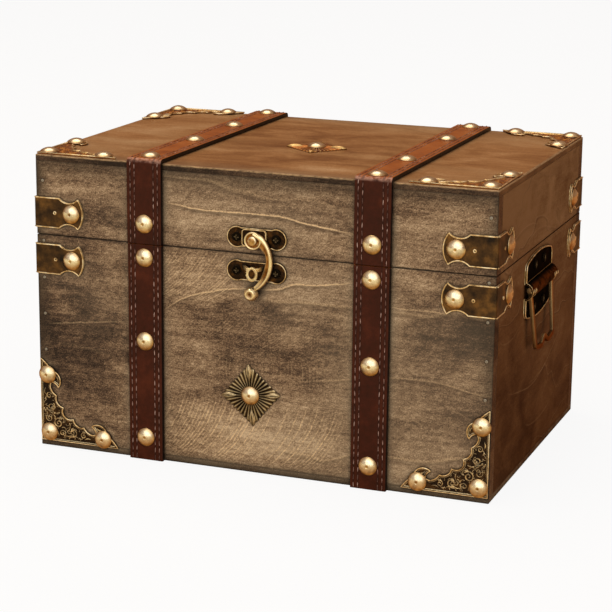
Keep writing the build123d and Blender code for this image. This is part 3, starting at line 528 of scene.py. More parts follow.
washedPine = makeWood("washed_pine", washedLook)
stainedTop = makeWood("stained_pine_top", topLook)
stainedSides = makeWood("stained_pine_sides", sideLook)
plainLook = {**washedLook, "across": "Y", "patches": (), "frontLines": (), "sawStrokes": ()}
bottomPine = makeWood("washed_pine_bottom", plainLook)
strapLeather = makeStrapLeather("strap_leather", strapLook)
thread = makeThread("waxed_thread", ((0.38, "#3E2018"), (0.5, "#7E5A4E"), (0.64, "#B29488")))
stampedPlate = makeAntiqueBrass("antique_stamped_plate", plateLook)
latchBrass = makeAntiqueBrass("antique_latch_brass", latchLook)
handleBrass = makeAntiqueBrass("antique_handle_brass", handleLook)
rubbedRim = makeAntiqueBrass("rubbed_rim_brass", rimLook)
cornerPlate = makeAntiqueBrass("antique_corner_plate", cornerLook)
copperPlate = makeAntiqueBrass("lacquered_corner_plate", copperLook)
chasedScroll = makeAntiqueBrass("chased_scroll_brass", scrollLook)
copperScroll = makeAntiqueBrass("lacquered_scroll_brass", copperScrollLook)
pressedPlate = makeAntiqueBrass("pressed_rosette_brass", rosetteLook, wornByShape=True)
pressedCopper = makeAntiqueBrass("lacquered_rosette_brass", copperLook, wornByShape=True)
castLatch = makeAntiqueBrass("cast_latch_brass", castLook, wornByShape=True)
castCatch = makeAntiqueBrass("cast_catch_brass", catchLook, wornByShape=True)
polishedBail = makeAntiqueBrass("polished_bail_brass", bailLook, wornByShape=True)
gilt = makeAntiqueBrass("gilt_tack", giltLook, wornByShape=True)
blackScrew = makeSteel("blackened_screw", ((0.0, "#120E0A"), (0.5, "#A08A66")))
paleSteel = makeSteel("pale_pin_steel", ((0.0, "#8E877C"), (0.5, "#D5CFC4")))
print("materials made:", len(bpy.data.materials))


# Every CAD part gets the material of what it is made of
def dressNode(name):
    if "pins" in name and "hinge" not in name:
        return paleSteel
    if "screws" in name:
        return blackScrew
    if name.endswith(("tack", "tacks")):
        return gilt
    if "strap" in name:
        return strapLeather
    if "handle" in name:
        return handleBrass
    if "latch" in name or "hinge" in name:
        return latchBrass
    if "corner_plate" in name:
        return copperPlate if name.startswith("lid") else cornerPlate
    if "plate" in name or "rosette" in name:
        return stampedPlate
    if name == "lid_top_panel":
        return stainedTop
    if name == "base_bottom_panel":
        return bottomPine
    if "left_board" in name or "right_board" in name:
        return stainedSides
    return washedPine


for nodeName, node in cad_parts.items():
    node.data.materials.clear()
    node.data.materials.append(dressNode(nodeName))
print("frame parts dressed")


# Geometry Nodes helpers: a tree with named inputs, and its result as a plain mesh
def newTree(name, inputs):
    tree = bpy.data.node_groups.new(name, "GeometryNodeTree")
    tree.interface.new_socket("Geometry", in_out="INPUT", socket_type="NodeSocketGeometry")
    for label, kind in inputs.items():
        tree.interface.new_socket(label, in_out="INPUT", socket_type="NodeSocket" + kind)
    tree.interface.new_socket("Geometry", in_out="OUTPUT", socket_type="NodeSocketGeometry")
    add = partial(addNode, tree)
    return tree, add, add("NodeGroupInput").outputs


def finishTree(add, geometry, material):
    real = add("GeometryNodeRealizeInstances", {0: geometry})
    dressed = add("GeometryNodeSetMaterial", {"Geometry": real.outputs[0], "Material": material})
    add("NodeGroupOutput", {0: dressed.outputs[0]})


# Sets the instance on every point, each swung by a random angle round its own Z axis
def scatterTurned(add, points, instance, rotation, least, most, seed):
    swing = add("FunctionNodeRandomValue", {"data_type": "FLOAT", 2: least, 3: most, "Seed": seed})
    turn = add("FunctionNodeAxisAngleToRotation", {"Axis": (0, 0, 1), "Angle": swing.outputs[1]})
    turned = add("FunctionNodeRotateRotation", {
        "rotation_space": "LOCAL", "Rotation": rotation, "Rotate By": turn.outputs[0],
    })
    return add("GeometryNodeInstanceOnPoints", {
        "Points": points, "Instance": instance, "Rotation": turned.outputs[0],
    }).outputs[0]


def growTree(piece, tree, values):
    modifier = piece.modifiers.new(tree.name, "NODES")
    modifier.node_group = tree
    for socket in tree.interface.items_tree:
        if socket.in_out == "INPUT" and socket.name in values:
            modifier[socket.identifier] = values[socket.name]
    bakeModifiers(piece)


def bakeModifiers(piece):
    bpy.context.view_layer.update()
    graph = bpy.context.evaluated_depsgraph_get()
    mesh = bpy.data.meshes.new_from_object(
        piece.evaluated_get(graph), preserve_all_data_layers=True, depsgraph=graph
    )
    piece.modifiers.clear()
    piece.data = mesh


# A new object in the scene, for a mesh, a camera or a lamp
def newPiece(name, data, material=None):
    piece = bpy.data.objects.new(name, data)
    bpy.context.scene.collection.objects.link(piece)
    if material:
        data.materials.clear()
        data.materials.append(material)
    return piece


# A piece joins a body, and the CAD parts that it stands for are hidden
def seatPiece(piece, body, slot, *replaced):
    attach(piece, body)
    if replaced:
        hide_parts(*replaced)


def meshFromBm(name, bm):
    bmesh.ops.recalc_face_normals(bm, faces=bm.faces)
    for face in bm.faces:
        face.smooth = True
    mesh = bpy.data.meshes.new(name)
    bm.to_mesh(mesh)
    bm.free()
    return mesh


# The mesh of a CAD part, its double points joined and, where asked, its nearly flat faces too
def readNode(nodeName, weld=0.002, flatAngle=0):
    bm = bmesh.new()
    bm.from_mesh(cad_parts[nodeName].data)
    bmesh.ops.remove_doubles(bm, verts=bm.verts, dist=weld * mm)
    if flatAngle:
        bmesh.ops.dissolve_limit(bm, angle_limit=radians(flatAngle), verts=bm.verts, edges=bm.edges)
    return bm


# The separate solids of a CAD part, as lowest and highest corners, in the mesh's own order:
# the seeded draws go by it, so that each run gives the same pieces
def solidBoxes(nodeName):
    bm = readNode(nodeName, 0.001)
    boxes, reached = [], set()
    for start in bm.verts:
        if start in reached:
            continue
        reached.add(start)
        group = [start]
        for vert in group:
            for edge in vert.link_edges:
                other = edge.other_vert(vert)
                if other not in reached:
                    reached.add(other)
                    group.append(other)
        low = Vector(min(v.co[i] for v in group) for i in range(3))
        high = Vector(max(v.co[i] for v in group) for i in range(3))
        boxes.append((low, high))
    bm.free()
    return boxes


# Where each tack of a CAD part sits, and which way its head faces
def tackSeats(nodeName, headRise):
    seats = []
    walls = Vector((halfWidth, halfDepth, caseTop))
    for low, high in solidBoxes(nodeName):
        faces = []
        for out in (upward, frontOut, -frontOut, -rightward, rightward):
            axis = Vector(map(abs, out))
            crown = (low + high) / 2 + out * (high - low).dot(axis) / 2
            faces.append((crown.dot(out) - walls.dot(axis), crown, out))
        crown, out = max(faces, key=lambda face: face[0])[1:]
        seats.append((crown - out * headRise, out))
    return seats


# Frames on the faces of the case: a place, two directions along the face and the way out
def faceFrame(origin, right, up, out):
    return Matrix((right, up, out)).transposed().to_4x4(), Vector(origin)


def onFace(frameOfFace, right, up, out):
    turn, origin = frameOfFace
    return origin + turn @ Vector((right * mm, up * mm, out * mm))


# A new mesh whose points carry how worn they are; on tacks and the hook that value also holds painted highlight
# and shade
def newWorn():
    bm = bmesh.new()
    return bm, bm.verts.layers.float.new("wear")


# Faces between rows of points; a row is a ring or one point
def joinRows(bm, rows):
    for inner, outer in zip(rows, rows[1:]):
        for i in range(max(len(inner), len(outer))):
            corners = [row[k % len(row)] for row, k in ((inner, i), (outer, i), (outer, i + 1), (inner, i + 1))]
            bm.faces.new(list(dict.fromkeys(corners)))


# A turned shape: (reach, height, wear) spun round the way out of a face
def spinProfile(bm, wear, frameOfFace, profile, steps):
    rows = []
    for reach, height, worn in profile:
        row = []
        for i in range(1 if reach == 0 else steps):
            angle = tau * i / steps
            row.append(bm.verts.new(onFace(frameOfFace, reach * cos(angle), reach * sin(angle), height)))
            row[-1][wear] = worn
        rows.append(row)
    joinRows(bm, rows)


# Tacks: a domed head with a rolled rim and a centre dimple, scattered on the seats
tackShape = {
    "radius": 4.5, "head": 2.4, "rise": 2.1, "rim": 0.35, "shank": 0.65, "depth": 3.2, "dimple": 0.8,
    "dimpleDepth": 0.35, "rings": 10, "steps": 36, "seed": 4, "crownShare": 0.965, "lacquerAndShadeFrom": 0.62,
    # Below the crown: share of the radius, share of the rim's height, wear (low: lacquer and painted shade)
    "lip": ((1.0, 0.8, 0.5), (1.0, 0.3, 0.2), (0.96, 0.0, 0.0)),
}


def makeTackMesh(shape):
    radius, rise, dimple, rim = shape["radius"], shape["rise"], shape["dimple"], shape["rim"]
    sink, shank, depth = shape["dimpleDepth"], shape["shank"], shape["depth"]
    crown = rise - rim
    sphere = (radius**2 + crown**2) / (2 * crown)
    profile = [(0, rise - sink, 0), (0.5 * dimple, rise - 0.8 * sink, 0)]
    for i in range(shape["rings"] + 1):
        reach = dimple + (shape["crownShare"] * radius - dimple) * i / shape["rings"]
        worn = 0.75 if i == 0 else 1.0 - max(0.0, reach / radius - shape["lacquerAndShadeFrom"]) * 2.4
        profile.append((reach, rise - sphere + (sphere**2 - reach**2) ** 0.5, worn))
    profile += [(share * radius, rise * rim, worn) for share, rise, worn in shape["lip"]]
    profile += [(shank, 0, 0), (shank, -0.6 * depth, 0), (0, -depth, 0)]
    bm, wear = newWorn()
    spinProfile(bm, wear, faceFrame((0, 0, 0), rightward, -frontOut, upward), profile, shape["steps"])
    return meshFromBm("tack", bm)


def makeScatterTree():
    tree, add, inputs = newTree("scatterOnSeats", {"Part": "Object", "Turn Seed": "Int", "Finish": "Material"})
    part = add("GeometryNodeObjectInfo", {"Object": inputs["Part"]})
    facing = add("GeometryNodeInputNamedAttribute", {"data_type": "FLOAT_VECTOR", "Name": "facing"})
    upright = add("FunctionNodeAlignRotationToVector", {"axis": "Z", "Vector": facing.outputs[0]})
    tacks = scatterTurned(
        add, inputs["Geometry"], part.outputs["Geometry"], upright.outputs[0], 0.0, tau, inputs["Turn Seed"]
    )
    finishTree(add, tacks, inputs["Finish"])
    return tree


def seatsMesh(name, seats):
    mesh = bpy.data.meshes.new(name)
    mesh.from_pydata([seat for seat, facing in seats], [], [])
    attribute = mesh.attributes.new("facing", "FLOAT_VECTOR", "POINT")
    attribute.data.foreach_set("vector", [c for seat, facing in seats for c in facing])
    return mesh


scatterTree = makeScatterTree()
tackPart = newPiece("tackPart", makeTackMesh(tackShape))
tackNodes = {
    "base": ("base_strap_tacks", "base_edge_plate_tacks", "base_corner_tacks", "front_rosette_tack"),
    "lid": ("lid_strap_tacks", "lid_edge_plate_tacks", "lid_corner_tacks", "top_rosette_tack"),
}
for body, nodeNames in tackNodes.items():
    for nodeName in nodeNames:
        seats = tackSeats(nodeName, tackShape["head"] * mm)
        tacks = newPiece(nodeName + "_domed", seatsMesh(nodeName, seats))
        growTree(tacks, scatterTree, {"Part": tackPart, "Turn Seed": tackShape["seed"], "Finish": gilt})
        seatPiece(tacks, body, "gilt_tack", nodeName)
bpy.data.objects.remove(tackPart)
print("tacks scattered")


# Stitches: two rows along each strap edge, one thread lying between two holes
stitchShape = {
    "pitch": 3.6, "length": 2.6, "width": 0.42, "rise": 0.4, "rowInsets": (1.7, 3.8), "endInset": 1.6,
    "bend": 2.2, "bendSteps": 5, "swing": 0.09, "seed": 7,
}


def makeStitchTree():
    tree, add, inputs = newTree("stitchRow", {
        **dict.fromkeys(("Pitch", "Length", "Width", "Rise"), "Float"), "Seed": "Int", "Finish": "Material",
    })
    row = add("GeometryNodeMeshToCurve", {"Mesh": inputs["Geometry"]})
    holes = add("GeometryNodeResampleCurve", {
        "mode": "LENGTH", "Curve": row.outputs[0], "Length": inputs["Pitch"],
    })
    strand = add("GeometryNodeMeshUVSphere", {"Segments": 8, "Rings": 6, "Radius": 0.5})
    size = add("ShaderNodeCombineXYZ", {"X": inputs["Length"], "Y": inputs["Width"], "Z": inputs["Rise"]})
    shaped = add("GeometryNodeTransform", {"Geometry": strand.outputs[0], "Scale": size.outputs[0]})
    smooth = add("GeometryNodeSetShadeSmooth", {"Geometry": shaped.outputs[0]})
    run = add("GeometryNodeInputTangent")
    forward = add("FunctionNodeAlignRotationToVector", {"axis": "X", "Vector": run.outputs[0]})
    level = add("FunctionNodeAlignRotationToVector", {
        "axis": "Y", "pivot_axis": "X", "Vector": (1, 0, 0), "Rotation": forward.outputs[0],
    })
    swing = stitchShape["swing"]
    stitches = scatterTurned(
        add, holes.outputs[0], smooth.outputs[0], level.outputs[0], -swing, swing, inputs["Seed"]
    )
    finishTree(add, stitches, inputs["Finish"])
    return tree


# Rows of points down or over a strap, at one x each
def stitchRows(low, high, route):
    lines = []
    for side, edge in ((1, low.x), (-1, high.x)):
        for i, inset in enumerate(stitchShape["rowInsets"]):
            x = edge + side * inset * mm
            start, *rest = route
            offset = 0.5 * stitchShape["pitch"] * mm * i
            step = (Vector((0, *rest[0])) - Vector((0, *start))).normalized() * offset
            lines.append([Vector((x, *start)) + step] + [Vector((x, *point)) for point in rest])
    return lines


def rowsMesh(name, lines):
    mesh = bpy.data.meshes.new(name)
    edges, first = [], 0
    for line in lines:
        edges += [(first + i, first + i + 1) for i in range(len(line) - 1)]
        first += len(line)
    mesh.from_pydata([point for line in lines for point in line], edges, [])
    return mesh


def lidRoute(low, high):
    bend, end, steps = stitchShape["bend"] * mm, stitchShape["endInset"] * mm, stitchShape["bendSteps"]
    route = [(low.y, lidBottom + end)]
    for side in (-1, 1):
        for i in range(steps + 1):
            turn = pi / 2 * i / steps
            out, rise = (cos(turn), sin(turn)) if side < 0 else (sin(turn), cos(turn))
            route.append((side * (high.y - bend + bend * out), high.z - bend + bend * rise))
    route.append((high.y, low.z + end))
    return route


stitchTree = makeStitchTree()
baseLines, lidLines = [], []
for hand in ("left", "right"):
    for face in ("front", "back"):
        low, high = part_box(f"base_strap_{face}_{hand}")
        outer = low.y if face == "front" else high.y
        end = stitchShape["endInset"] * mm
        baseLines += stitchRows(low, high, [(outer, high.z - end), (outer, low.z + end)])
    low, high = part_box(f"lid_strap_{hand}")
    lidLines += stitchRows(low, high, lidRoute(low, high))
for body, lines in (("base", baseLines), ("lid", lidLines)):
    stitches = newPiece(f"{body}_strap_stitches", rowsMesh(f"{body}Rows", lines))
    growTree(stitches, stitchTree, {
        **{label: stitchShape[label.lower()] * mm for label in ("Pitch", "Length", "Width", "Rise")},
        "Seed": stitchShape["seed"], "Finish": thread,
    })
    seatPiece(stitches, body, "strap_leather")
print("straps stitched")


# Sunburst rosettes: narrow flutes from the tack out to a scalloped edge, a leaf at each corner
rosetteShape = {
    "reach": 14.8, "rays": 32, "notch": 0.8, "columns": 10, "rings": 14, "rise": 0.85, "fall": 0.6,
    "flute": 0.5, "hub": 4.2, "tipRise": 0.8, "tipWidth": 1.5, "tipLength": 8.0, "vein": 0.3, "back": 0.02,
    "hole": 1.0, "leafAngle": 0.12, "veinFrom": 0.85, "fluteFrom": 0.85, "fluteFade": 0.4, "edgeShare": 0.8,
}


def makeRosette(nodeName, frameOfFace, turn, shape, material):
    bm, wear = newWorn()
    count = shape["rays"] * shape["columns"]
    rows = []
    for ring in range(shape["rings"] + 1):
        share = ring / shape["rings"]
        row = []
        for i in range(count):
            angle = tau * i / count
            crest = abs(cos(pi * i / shape["columns"]))
            # Half width of the leaf that lies along each diagonal of the plate
            across = abs((angle + pi / 4) % (pi / 2) - pi / 4)
            edge = shape["reach"] / (abs(cos(angle)) + abs(sin(angle)))
            edge -= shape["notch"] * (1 - crest) ** 1.5 * min(1.0, across / shape["leafAngle"])
            reach = shape["hole"] + (edge - shape["hole"]) * share
            fromTip = shape["reach"] - reach * cos(across)
            along = min(1.0, max(0.0, fromTip / shape["tipLength"]))
            leafHalf = shape["tipWidth"] * sin(pi * along**0.75)
            inLeaf = max(0.0, 1 - reach * sin(across) / leafHalf) if leafHalf > 0.05 else 0.0
            grown = (reach / shape["hub"] - shape["fluteFrom"]) / shape["fluteFade"]
            grown = min(1.0, max(0.0, grown))
            height = shape["rise"] * (1 - share**3) + shape["fall"] * share**3
            if inLeaf > 0:
                vein = shape["vein"] if inLeaf > shape["veinFrom"] else 0.0
                height += shape["tipRise"] * min(1.0, 2.2 * inLeaf) * sin(pi * along) ** 0.5 - vein
                worn = 0.1 if vein else min(1.0, 1.25 - inLeaf)
            else:
                height += shape["flute"] * (crest**0.7 - 1) * grown
                worn = (0.1 + 0.75 * share) * crest**7
            if ring == shape["rings"]:
                height *= shape["edgeShare"]
            place = onFace(frameOfFace, reach * cos(angle + turn), reach * sin(angle + turn), height)
            row.append(bm.verts.new(place))
            row[-1][wear] = worn
        rows.append(row)
    # The edge goes down to the wood
    out = frameOfFace[0] @ Vector((0, 0, 1))
    back = shape["back"] * mm
    rows.append([
        bm.verts.new(vert.co - out * ((vert.co - frameOfFace[1]).dot(out) - back)) for vert in rows[-1]
    ])
    joinRows(bm, rows)
    bm.faces.new(rows[0])
    bm.faces.new(rows[-1])
    return newPiece(nodeName + "_fluted", meshFromBm(nodeName, bm), material)


# The turn of a rosette, read from its outermost tip
def tipTurn(nodeName, axis):
    low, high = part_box(nodeName)
    middle = (low + high) / 2
    tip = max((v.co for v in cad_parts[nodeName].data.vertices), key=lambda co: co[axis])
    return atan2(middle.x - tip.x, tip[axis] - middle[axis])


for nodeName, body, out, axis in (("front_rosette", "base", frontOut, 2), ("top_rosette", "lid", upward, 1)):
    low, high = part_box(nodeName)
    seat = (low + high) / 2
    if body == "base":
        seatFrame = faceFrame((seat.x, high.y, seat.z), rightward, upward, frontOut)
    else:
        seatFrame = faceFrame((seat.x, seat.y, low.z), rightward, Vector((0, 1, 0)), upward)
    finish = pressedPlate if body == "base" else pressedCopper
    rosette = makeRosette(nodeName, seatFrame, tipTurn(nodeName, axis), rosetteShape, finish)
    seatPiece(rosette, body, "antique_bronze_plate", nodeName)
print("rosettes fluted")


# Filigree on the corner plates: spirals, leaves and small curls, drawn as lines with a thickness
scrollShape = {
    "leg": 40.6, "floor": 0.5, "sink": 0.05, "spiralSteps": 26, "leafSteps": 8, "sides": 6, "bow": 0.16,
    "clear": 0.5, "curls": 70, "lidShare": 0.65, "curlReach": 0.62, "curlSize": (0.014, 0.032),
    "curlThick": (0.18, 0.3), "curlSteps": 7, "curlSweep": (2.2, 4.6), "curlFrom": 0.03, "curlTaper": 0.5,
    "seed": 11, "tighten": 0.86, "taper": 0.35, "tipShare": 0.12,
    # Of each spiral: middle (u, v), size, turns, start in degrees, thickness
    "spirals": (
        (0.22, 0.22, 0.065, 1.6, 45, 0.4),
        (0.12, 0.41, 0.055, 1.5, 200, 0.36), (0.41, 0.12, 0.055, 1.5, -110, 0.36),
        (0.10, 0.55, 0.04, 1.4, 30, 0.3), (0.55, 0.10, 0.04, 1.4, 60, 0.3),
        (0.10, 0.27, 0.045, 1.4, 140, 0.32), (0.27, 0.10, 0.045, 1.4, -50, 0.32),
    ),
    # One leaf of each mirrored pair: from (u, v) to (u, v), thickness
    "leaves": (
        (0.08, 0.70, 0.02, 0.79, 0.48), (0.20, 0.55, 0.26, 0.48, 0.46), (0.32, 0.42, 0.22, 0.37, 0.42),
        (0.06, 0.33, 0.05, 0.50, 0.4), (0.17, 0.66, 0.11, 0.69, 0.4), (0.14, 0.17, 0.05, 0.22, 0.4),
        (0.25, 0.36, 0.14, 0.35, 0.36), (0.05, 0.56, 0.06, 0.65, 0.34), (0.19, 0.80, 0.22, 0.72, 0.4),
    ),
}


def scrollLines(shape):
    lines = []
    for u, v, size, turns, start, thick in shape["spirals"]:
        line = []
        for i in range(shape["spiralSteps"] + 1):
            share = i / shape["spiralSteps"]
            angle = radians(start) + tau * turns * share
            reach = size * (1 - shape["tighten"] * share)
            thin = thick * (1 - shape["taper"] * share)
            line.append((u + reach * cos(angle), v + reach * sin(angle), thin))
        lines.append(line)
    leaves = [
        ends for u0, v0, u1, v1, thick in shape["leaves"]
        for ends in ((u0, v0, u1, v1, thick), (v0, u0, v1, u1, thick))
    ]
    for u0, v0, u1, v1, thick in leaves:
        line = []
        for i in range(shape["leafSteps"] + 1):
            share = i / shape["leafSteps"]
            swing = shape["bow"] * sin(pi * share)
            u, v = u0 + (u1 - u0) * share, v0 + (v1 - v0) * share
            thin = thick * max(shape["tipShare"], sin(pi * share**0.7))
            line.append((u - (v1 - v0) * swing, v + (u1 - u0) * swing, thin))
        lines.append(line)
    # Small curls at random between them, mirrored across the plate
    chance, steps = Random(shape["seed"]), shape["curlSteps"]
    for i in range(shape["curls"]):
        u, v = [chance.uniform(shape["curlFrom"], shape["curlReach"]) for axis in "uv"]
        size, thick = chance.uniform(*shape["curlSize"]), chance.uniform(*shape["curlThick"])
        start, sweep = chance.uniform(0, tau), chance.choice((-1, 1)) * chance.uniform(*shape["curlSweep"])
        curl = []
        for k in range(steps + 1):
            angle, thin = start + sweep * k / steps, thick * (1 - shape["curlTaper"] * k / steps)
            curl.append((u + size * cos(angle), v + size * sin(angle), thin))
        lines += [curl, [(second, first, thin) for first, second, thin in curl]]
    return lines


# Tells whether a spot (in mm on the plate's face) lies on the floor of the recess, seen from above it
def recessOf(plateName, plateFrame, level, above=5, slack=0.15):
    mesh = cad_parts[plateName].data
    places, faces = [vert.co for vert in mesh.vertices], [face.vertices for face in mesh.polygons]
    solid = BVHTree.FromPolygons(places, faces)
    out = plateFrame[0] @ Vector((0, 0, 1))

    def isRecess(right, up):
        depth = solid.ray_cast(onFace(plateFrame, right, up, above), -out)[3]
        return depth is not None and abs(above * mm - depth - level * mm) < slack * mm

    return isRecess


def makeReliefTree():
    tree, add, inputs = newTree("reliefLines", {"Sides": "Int", "Finish": "Material"})
    lines = add("GeometryNodeMeshToCurve", {"Mesh": inputs["Geometry"]})
    thick = add("GeometryNodeInputNamedAttribute", {"data_type": "FLOAT", "Name": "thick"})
    section = add("GeometryNodeCurvePrimitiveCircle", {"Radius": 1.0, "Resolution": inputs["Sides"]})
    relief = add("GeometryNodeCurveToMesh", {
        "Fill Caps": True, "Curve": lines.outputs[0], "Profile Curve": section.outputs[0],
        "Scale": thick.outputs[0],
    })
    smooth = add("GeometryNodeSetShadeSmooth", {"Geometry": relief.outputs[0]})
    finishTree(add, smooth.outputs[0], inputs["Finish"])
    return tree


# Lines with a thickness at each point, grown into round relief
def growLines(name, points, edges, thicks, sides, finish):
    mesh = bpy.data.meshes.new(name)
    mesh.from_pydata(points, edges, [])
    mesh.attributes.new("thick", "FLOAT", "POINT").data.foreach_set("value", thicks)
    piece = newPiece(name, mesh)
    growTree(piece, reliefTree, {"Sides": sides, "Finish": finish})
    return piece


reliefTree = makeReliefTree()
cornerPlates = {
    "base": ("base_corner_plate_left", "base_corner_plate_right"),
    "lid": tuple(f"lid_corner_plate_{end}_{hand}" for end in ("front", "back") for hand in ("left", "right")),
}
for body, plateNames in cornerPlates.items():
    points, edges, thicks = [], [], []
    leg, clear, floor = scrollShape["leg"], scrollShape["clear"], scrollShape["floor"]
    around = ((0, 0), (clear, 0), (-clear, 0), (0, clear), (0, -clear))
    finish, share = (chasedScroll, 1.0) if body == "base" else (copperScroll, scrollShape["lidShare"])
    for plateName in plateNames:
        low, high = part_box(plateName)
        sideX, cornerX = (1, high.x) if high.x > 0 else (-1, low.x)
        sideY, cornerY = (1, high.y) if high.y > 0 else (-1, low.y)
        if body == "base":
            plateFrame = faceFrame((cornerX, high.y, low.z), (-sideX, 0, 0), upward, frontOut)
        else:
            plateFrame = faceFrame((cornerX, cornerY, low.z), (-sideX, 0, 0), (0, -sideY, 0), upward)
        isRecess = recessOf(plateName, plateFrame, floor)
        for line in scrollLines(scrollShape):
            before = False
            for u, v, thick in line:
                inside = all(isRecess(u * leg + a, v * leg + b) for a, b in around)
                if inside:
                    if before:
                        edges.append((len(points) - 1, len(points)))
                    points.append(onFace(plateFrame, u * leg, v * leg, floor - scrollShape["sink"]))
                    thicks.append(thick * mm * share)
                before = inside
    scrolls = growLines(f"{body}_corner_filigree", points, edges, thicks, scrollShape["sides"], finish)
    seatPiece(scrolls, body, "antique_bronze_plate")
print("corner plates chased")


# Rolled rims: a fine bead along every outer edge of a plate, where the plate's face meets its side
rimShape = {
    "plate": 0.32, "latch": 0.24, "handle": 0.28, "sideDepth": 0.45, "sides": 8, "faceLevel": 0.99,
    "sideLevel": 0.3,
}


def rimLines(nodeName, outs):
    bm = readNode(nodeName, flatAngle=1)
    lines = []
    for edge in bm.edges:
        if len(edge.link_faces) != 2:
            continue
        first, second = edge.link_faces
        for face, side in ((first, second), (second, first)):
            for out in outs:
                depth = max((edge.verts[0].co - vert.co).dot(out) for vert in side.verts)
                isFace = face.normal.dot(out) > rimShape["faceLevel"]
                isSide = abs(side.normal.dot(out)) < rimShape["sideLevel"]
                if isFace and isSide and depth > rimShape["sideDepth"] * mm:
                    lines.append(tuple(vert.co.copy() for vert in edge.verts))
    bm.free()
    return lines


def makeRims(name, body, slot, nodeNames, thick, outs):
    points, edges, index = [], [], {}
    for nodeName in nodeNames:
        for line in rimLines(nodeName, outs):
            ends = []
            for co in line:
                key = tuple(round(c / (0.01 * mm)) for c in co)
                if key not in index:
                    index[key] = len(points)
                    points.append(co)
                ends.append(index[key])
            if tuple(ends) not in edges and tuple(reversed(ends)) not in edges:
                edges.append(tuple(ends))
    rims = growLines(name, points, edges, [thick * mm] * len(points), rimShape["sides"], rubbedRim)
    seatPiece(rims, body, slot)


sideOuts = (frontOut, -frontOut, rightward, -rightward)
for body, plateNames in cornerPlates.items():
    out = frontOut if body == "base" else upward
    makeRims(f"{body}_corner_rims", body, "antique_bronze_plate", plateNames, rimShape["plate"], (out,))
    edgePlates = [f"{body}_edge_plate_{end}_{hand}" for end in ("front", "back") for hand in ("left", "right")]
    makeRims(f"{body}_edge_rims", body, "antique_bronze_plate", edgePlates, rimShape["plate"], sideOuts)
for body, plateName in (("lid", "latch_pivot_plate"), ("base", "latch_catch_plate")):
    makeRims(f"{plateName}_rims", body, "antique_brass", (plateName,), rimShape["latch"], (frontOut,))
makeRims(
    "handle_rims", "base", "antique_brass", ("handle_left_plate", "handle_right_plate"), rimShape["handle"],
    (rightward, -rightward),
)
print("rims rolled")


# Swing hook: hub ring, curved arm with a rubbed outer bevel whose pale colour is also a painted highlight, ball
# with a ring and a dark centre
hookShape = {
    "standoff": 2.0, "thickness": 1.5, "hub": 4.2, "reach": 24.6, "steps": 48,
    "outer": ((0.19, 0.09), (0.33, -0.11), (0.39, -0.354), (0.362, -0.598), (0.236, -0.81), (0.075, -0.955)),
    "inner": ((0.222, -0.215), (0.262, -0.33), (0.245, -0.44), (0.19, -0.62), (0.10, -0.78), (-0.02, -0.905)),
    "ball": (-0.012, -1.0), "ballRadius": 3.35, "ballLift": 3.65,
    # across the arm: share from the inner to the outer edge, height share, wear with painted highlight
    "section": (
        (0, 0, 0), (0, 0.6, 0.1), (0.04, 0.78, 0.6), (0.1, 0.84, 0.2), (0.3, 0.84, 0), (0.5, 0.86, 0),
        (0.58, 1.0, 0.6), (0.68, 1.14, 1), (0.84, 1.08, 1), (0.94, 0.82, 1), (1, 0.5, 0.3), (1, 0, 0),
    ),
    "polishFrom": 0.7, "polish": 3.5,
    # Hub ring: inset from its radius, height from the arm's top, wear
    "hubRing": (
        (4.2, -1.5, 0), (0.15, -1.5, 0), (0, -1.3, 0.1), (0, -0.25, 0.6), (0.15, 0.02, 1), (0.4, 0.15, 1),
        (0.75, 0.05, 0.8), (1.0, -0.25, 0), (1.68, -0.3, 0), (4.2, -0.3, 0),
    ),
    # Ring and centre of the ball: reach and height as shares of its radius, wear
    "ballRing": (
        (0.64, 0.78, 1), (0.52, 0.8, 0.9), (0.42, 0.76, 0.4), (0.3, 0.74, 0.3), (0.2, 0.72, 0.1),
        (0.12, 0.6, 0), (0, 0.58, 0),
    ),
}


# Points of an even curve through the given ones
def smoothLine(points, steps):
    ends = [points[0]] + list(points) + [points[-1]]
    line = []
    for i in range(steps + 1):
        place = (len(points) - 1) * i / steps
        first = min(int(place), len(points) - 2)
        t = place - first
        p0, p1, p2, p3 = (Vector(ends[first + k]) for k in range(4))
        line.append(0.5 * (
            2 * p1 + (p2 - p0) * t + (2 * p0 - 5 * p1 + 4 * p2 - p3) * t**2 + (3 * p1 - p0 - 3 * p2 + p3) * t**3
        ))
    return line


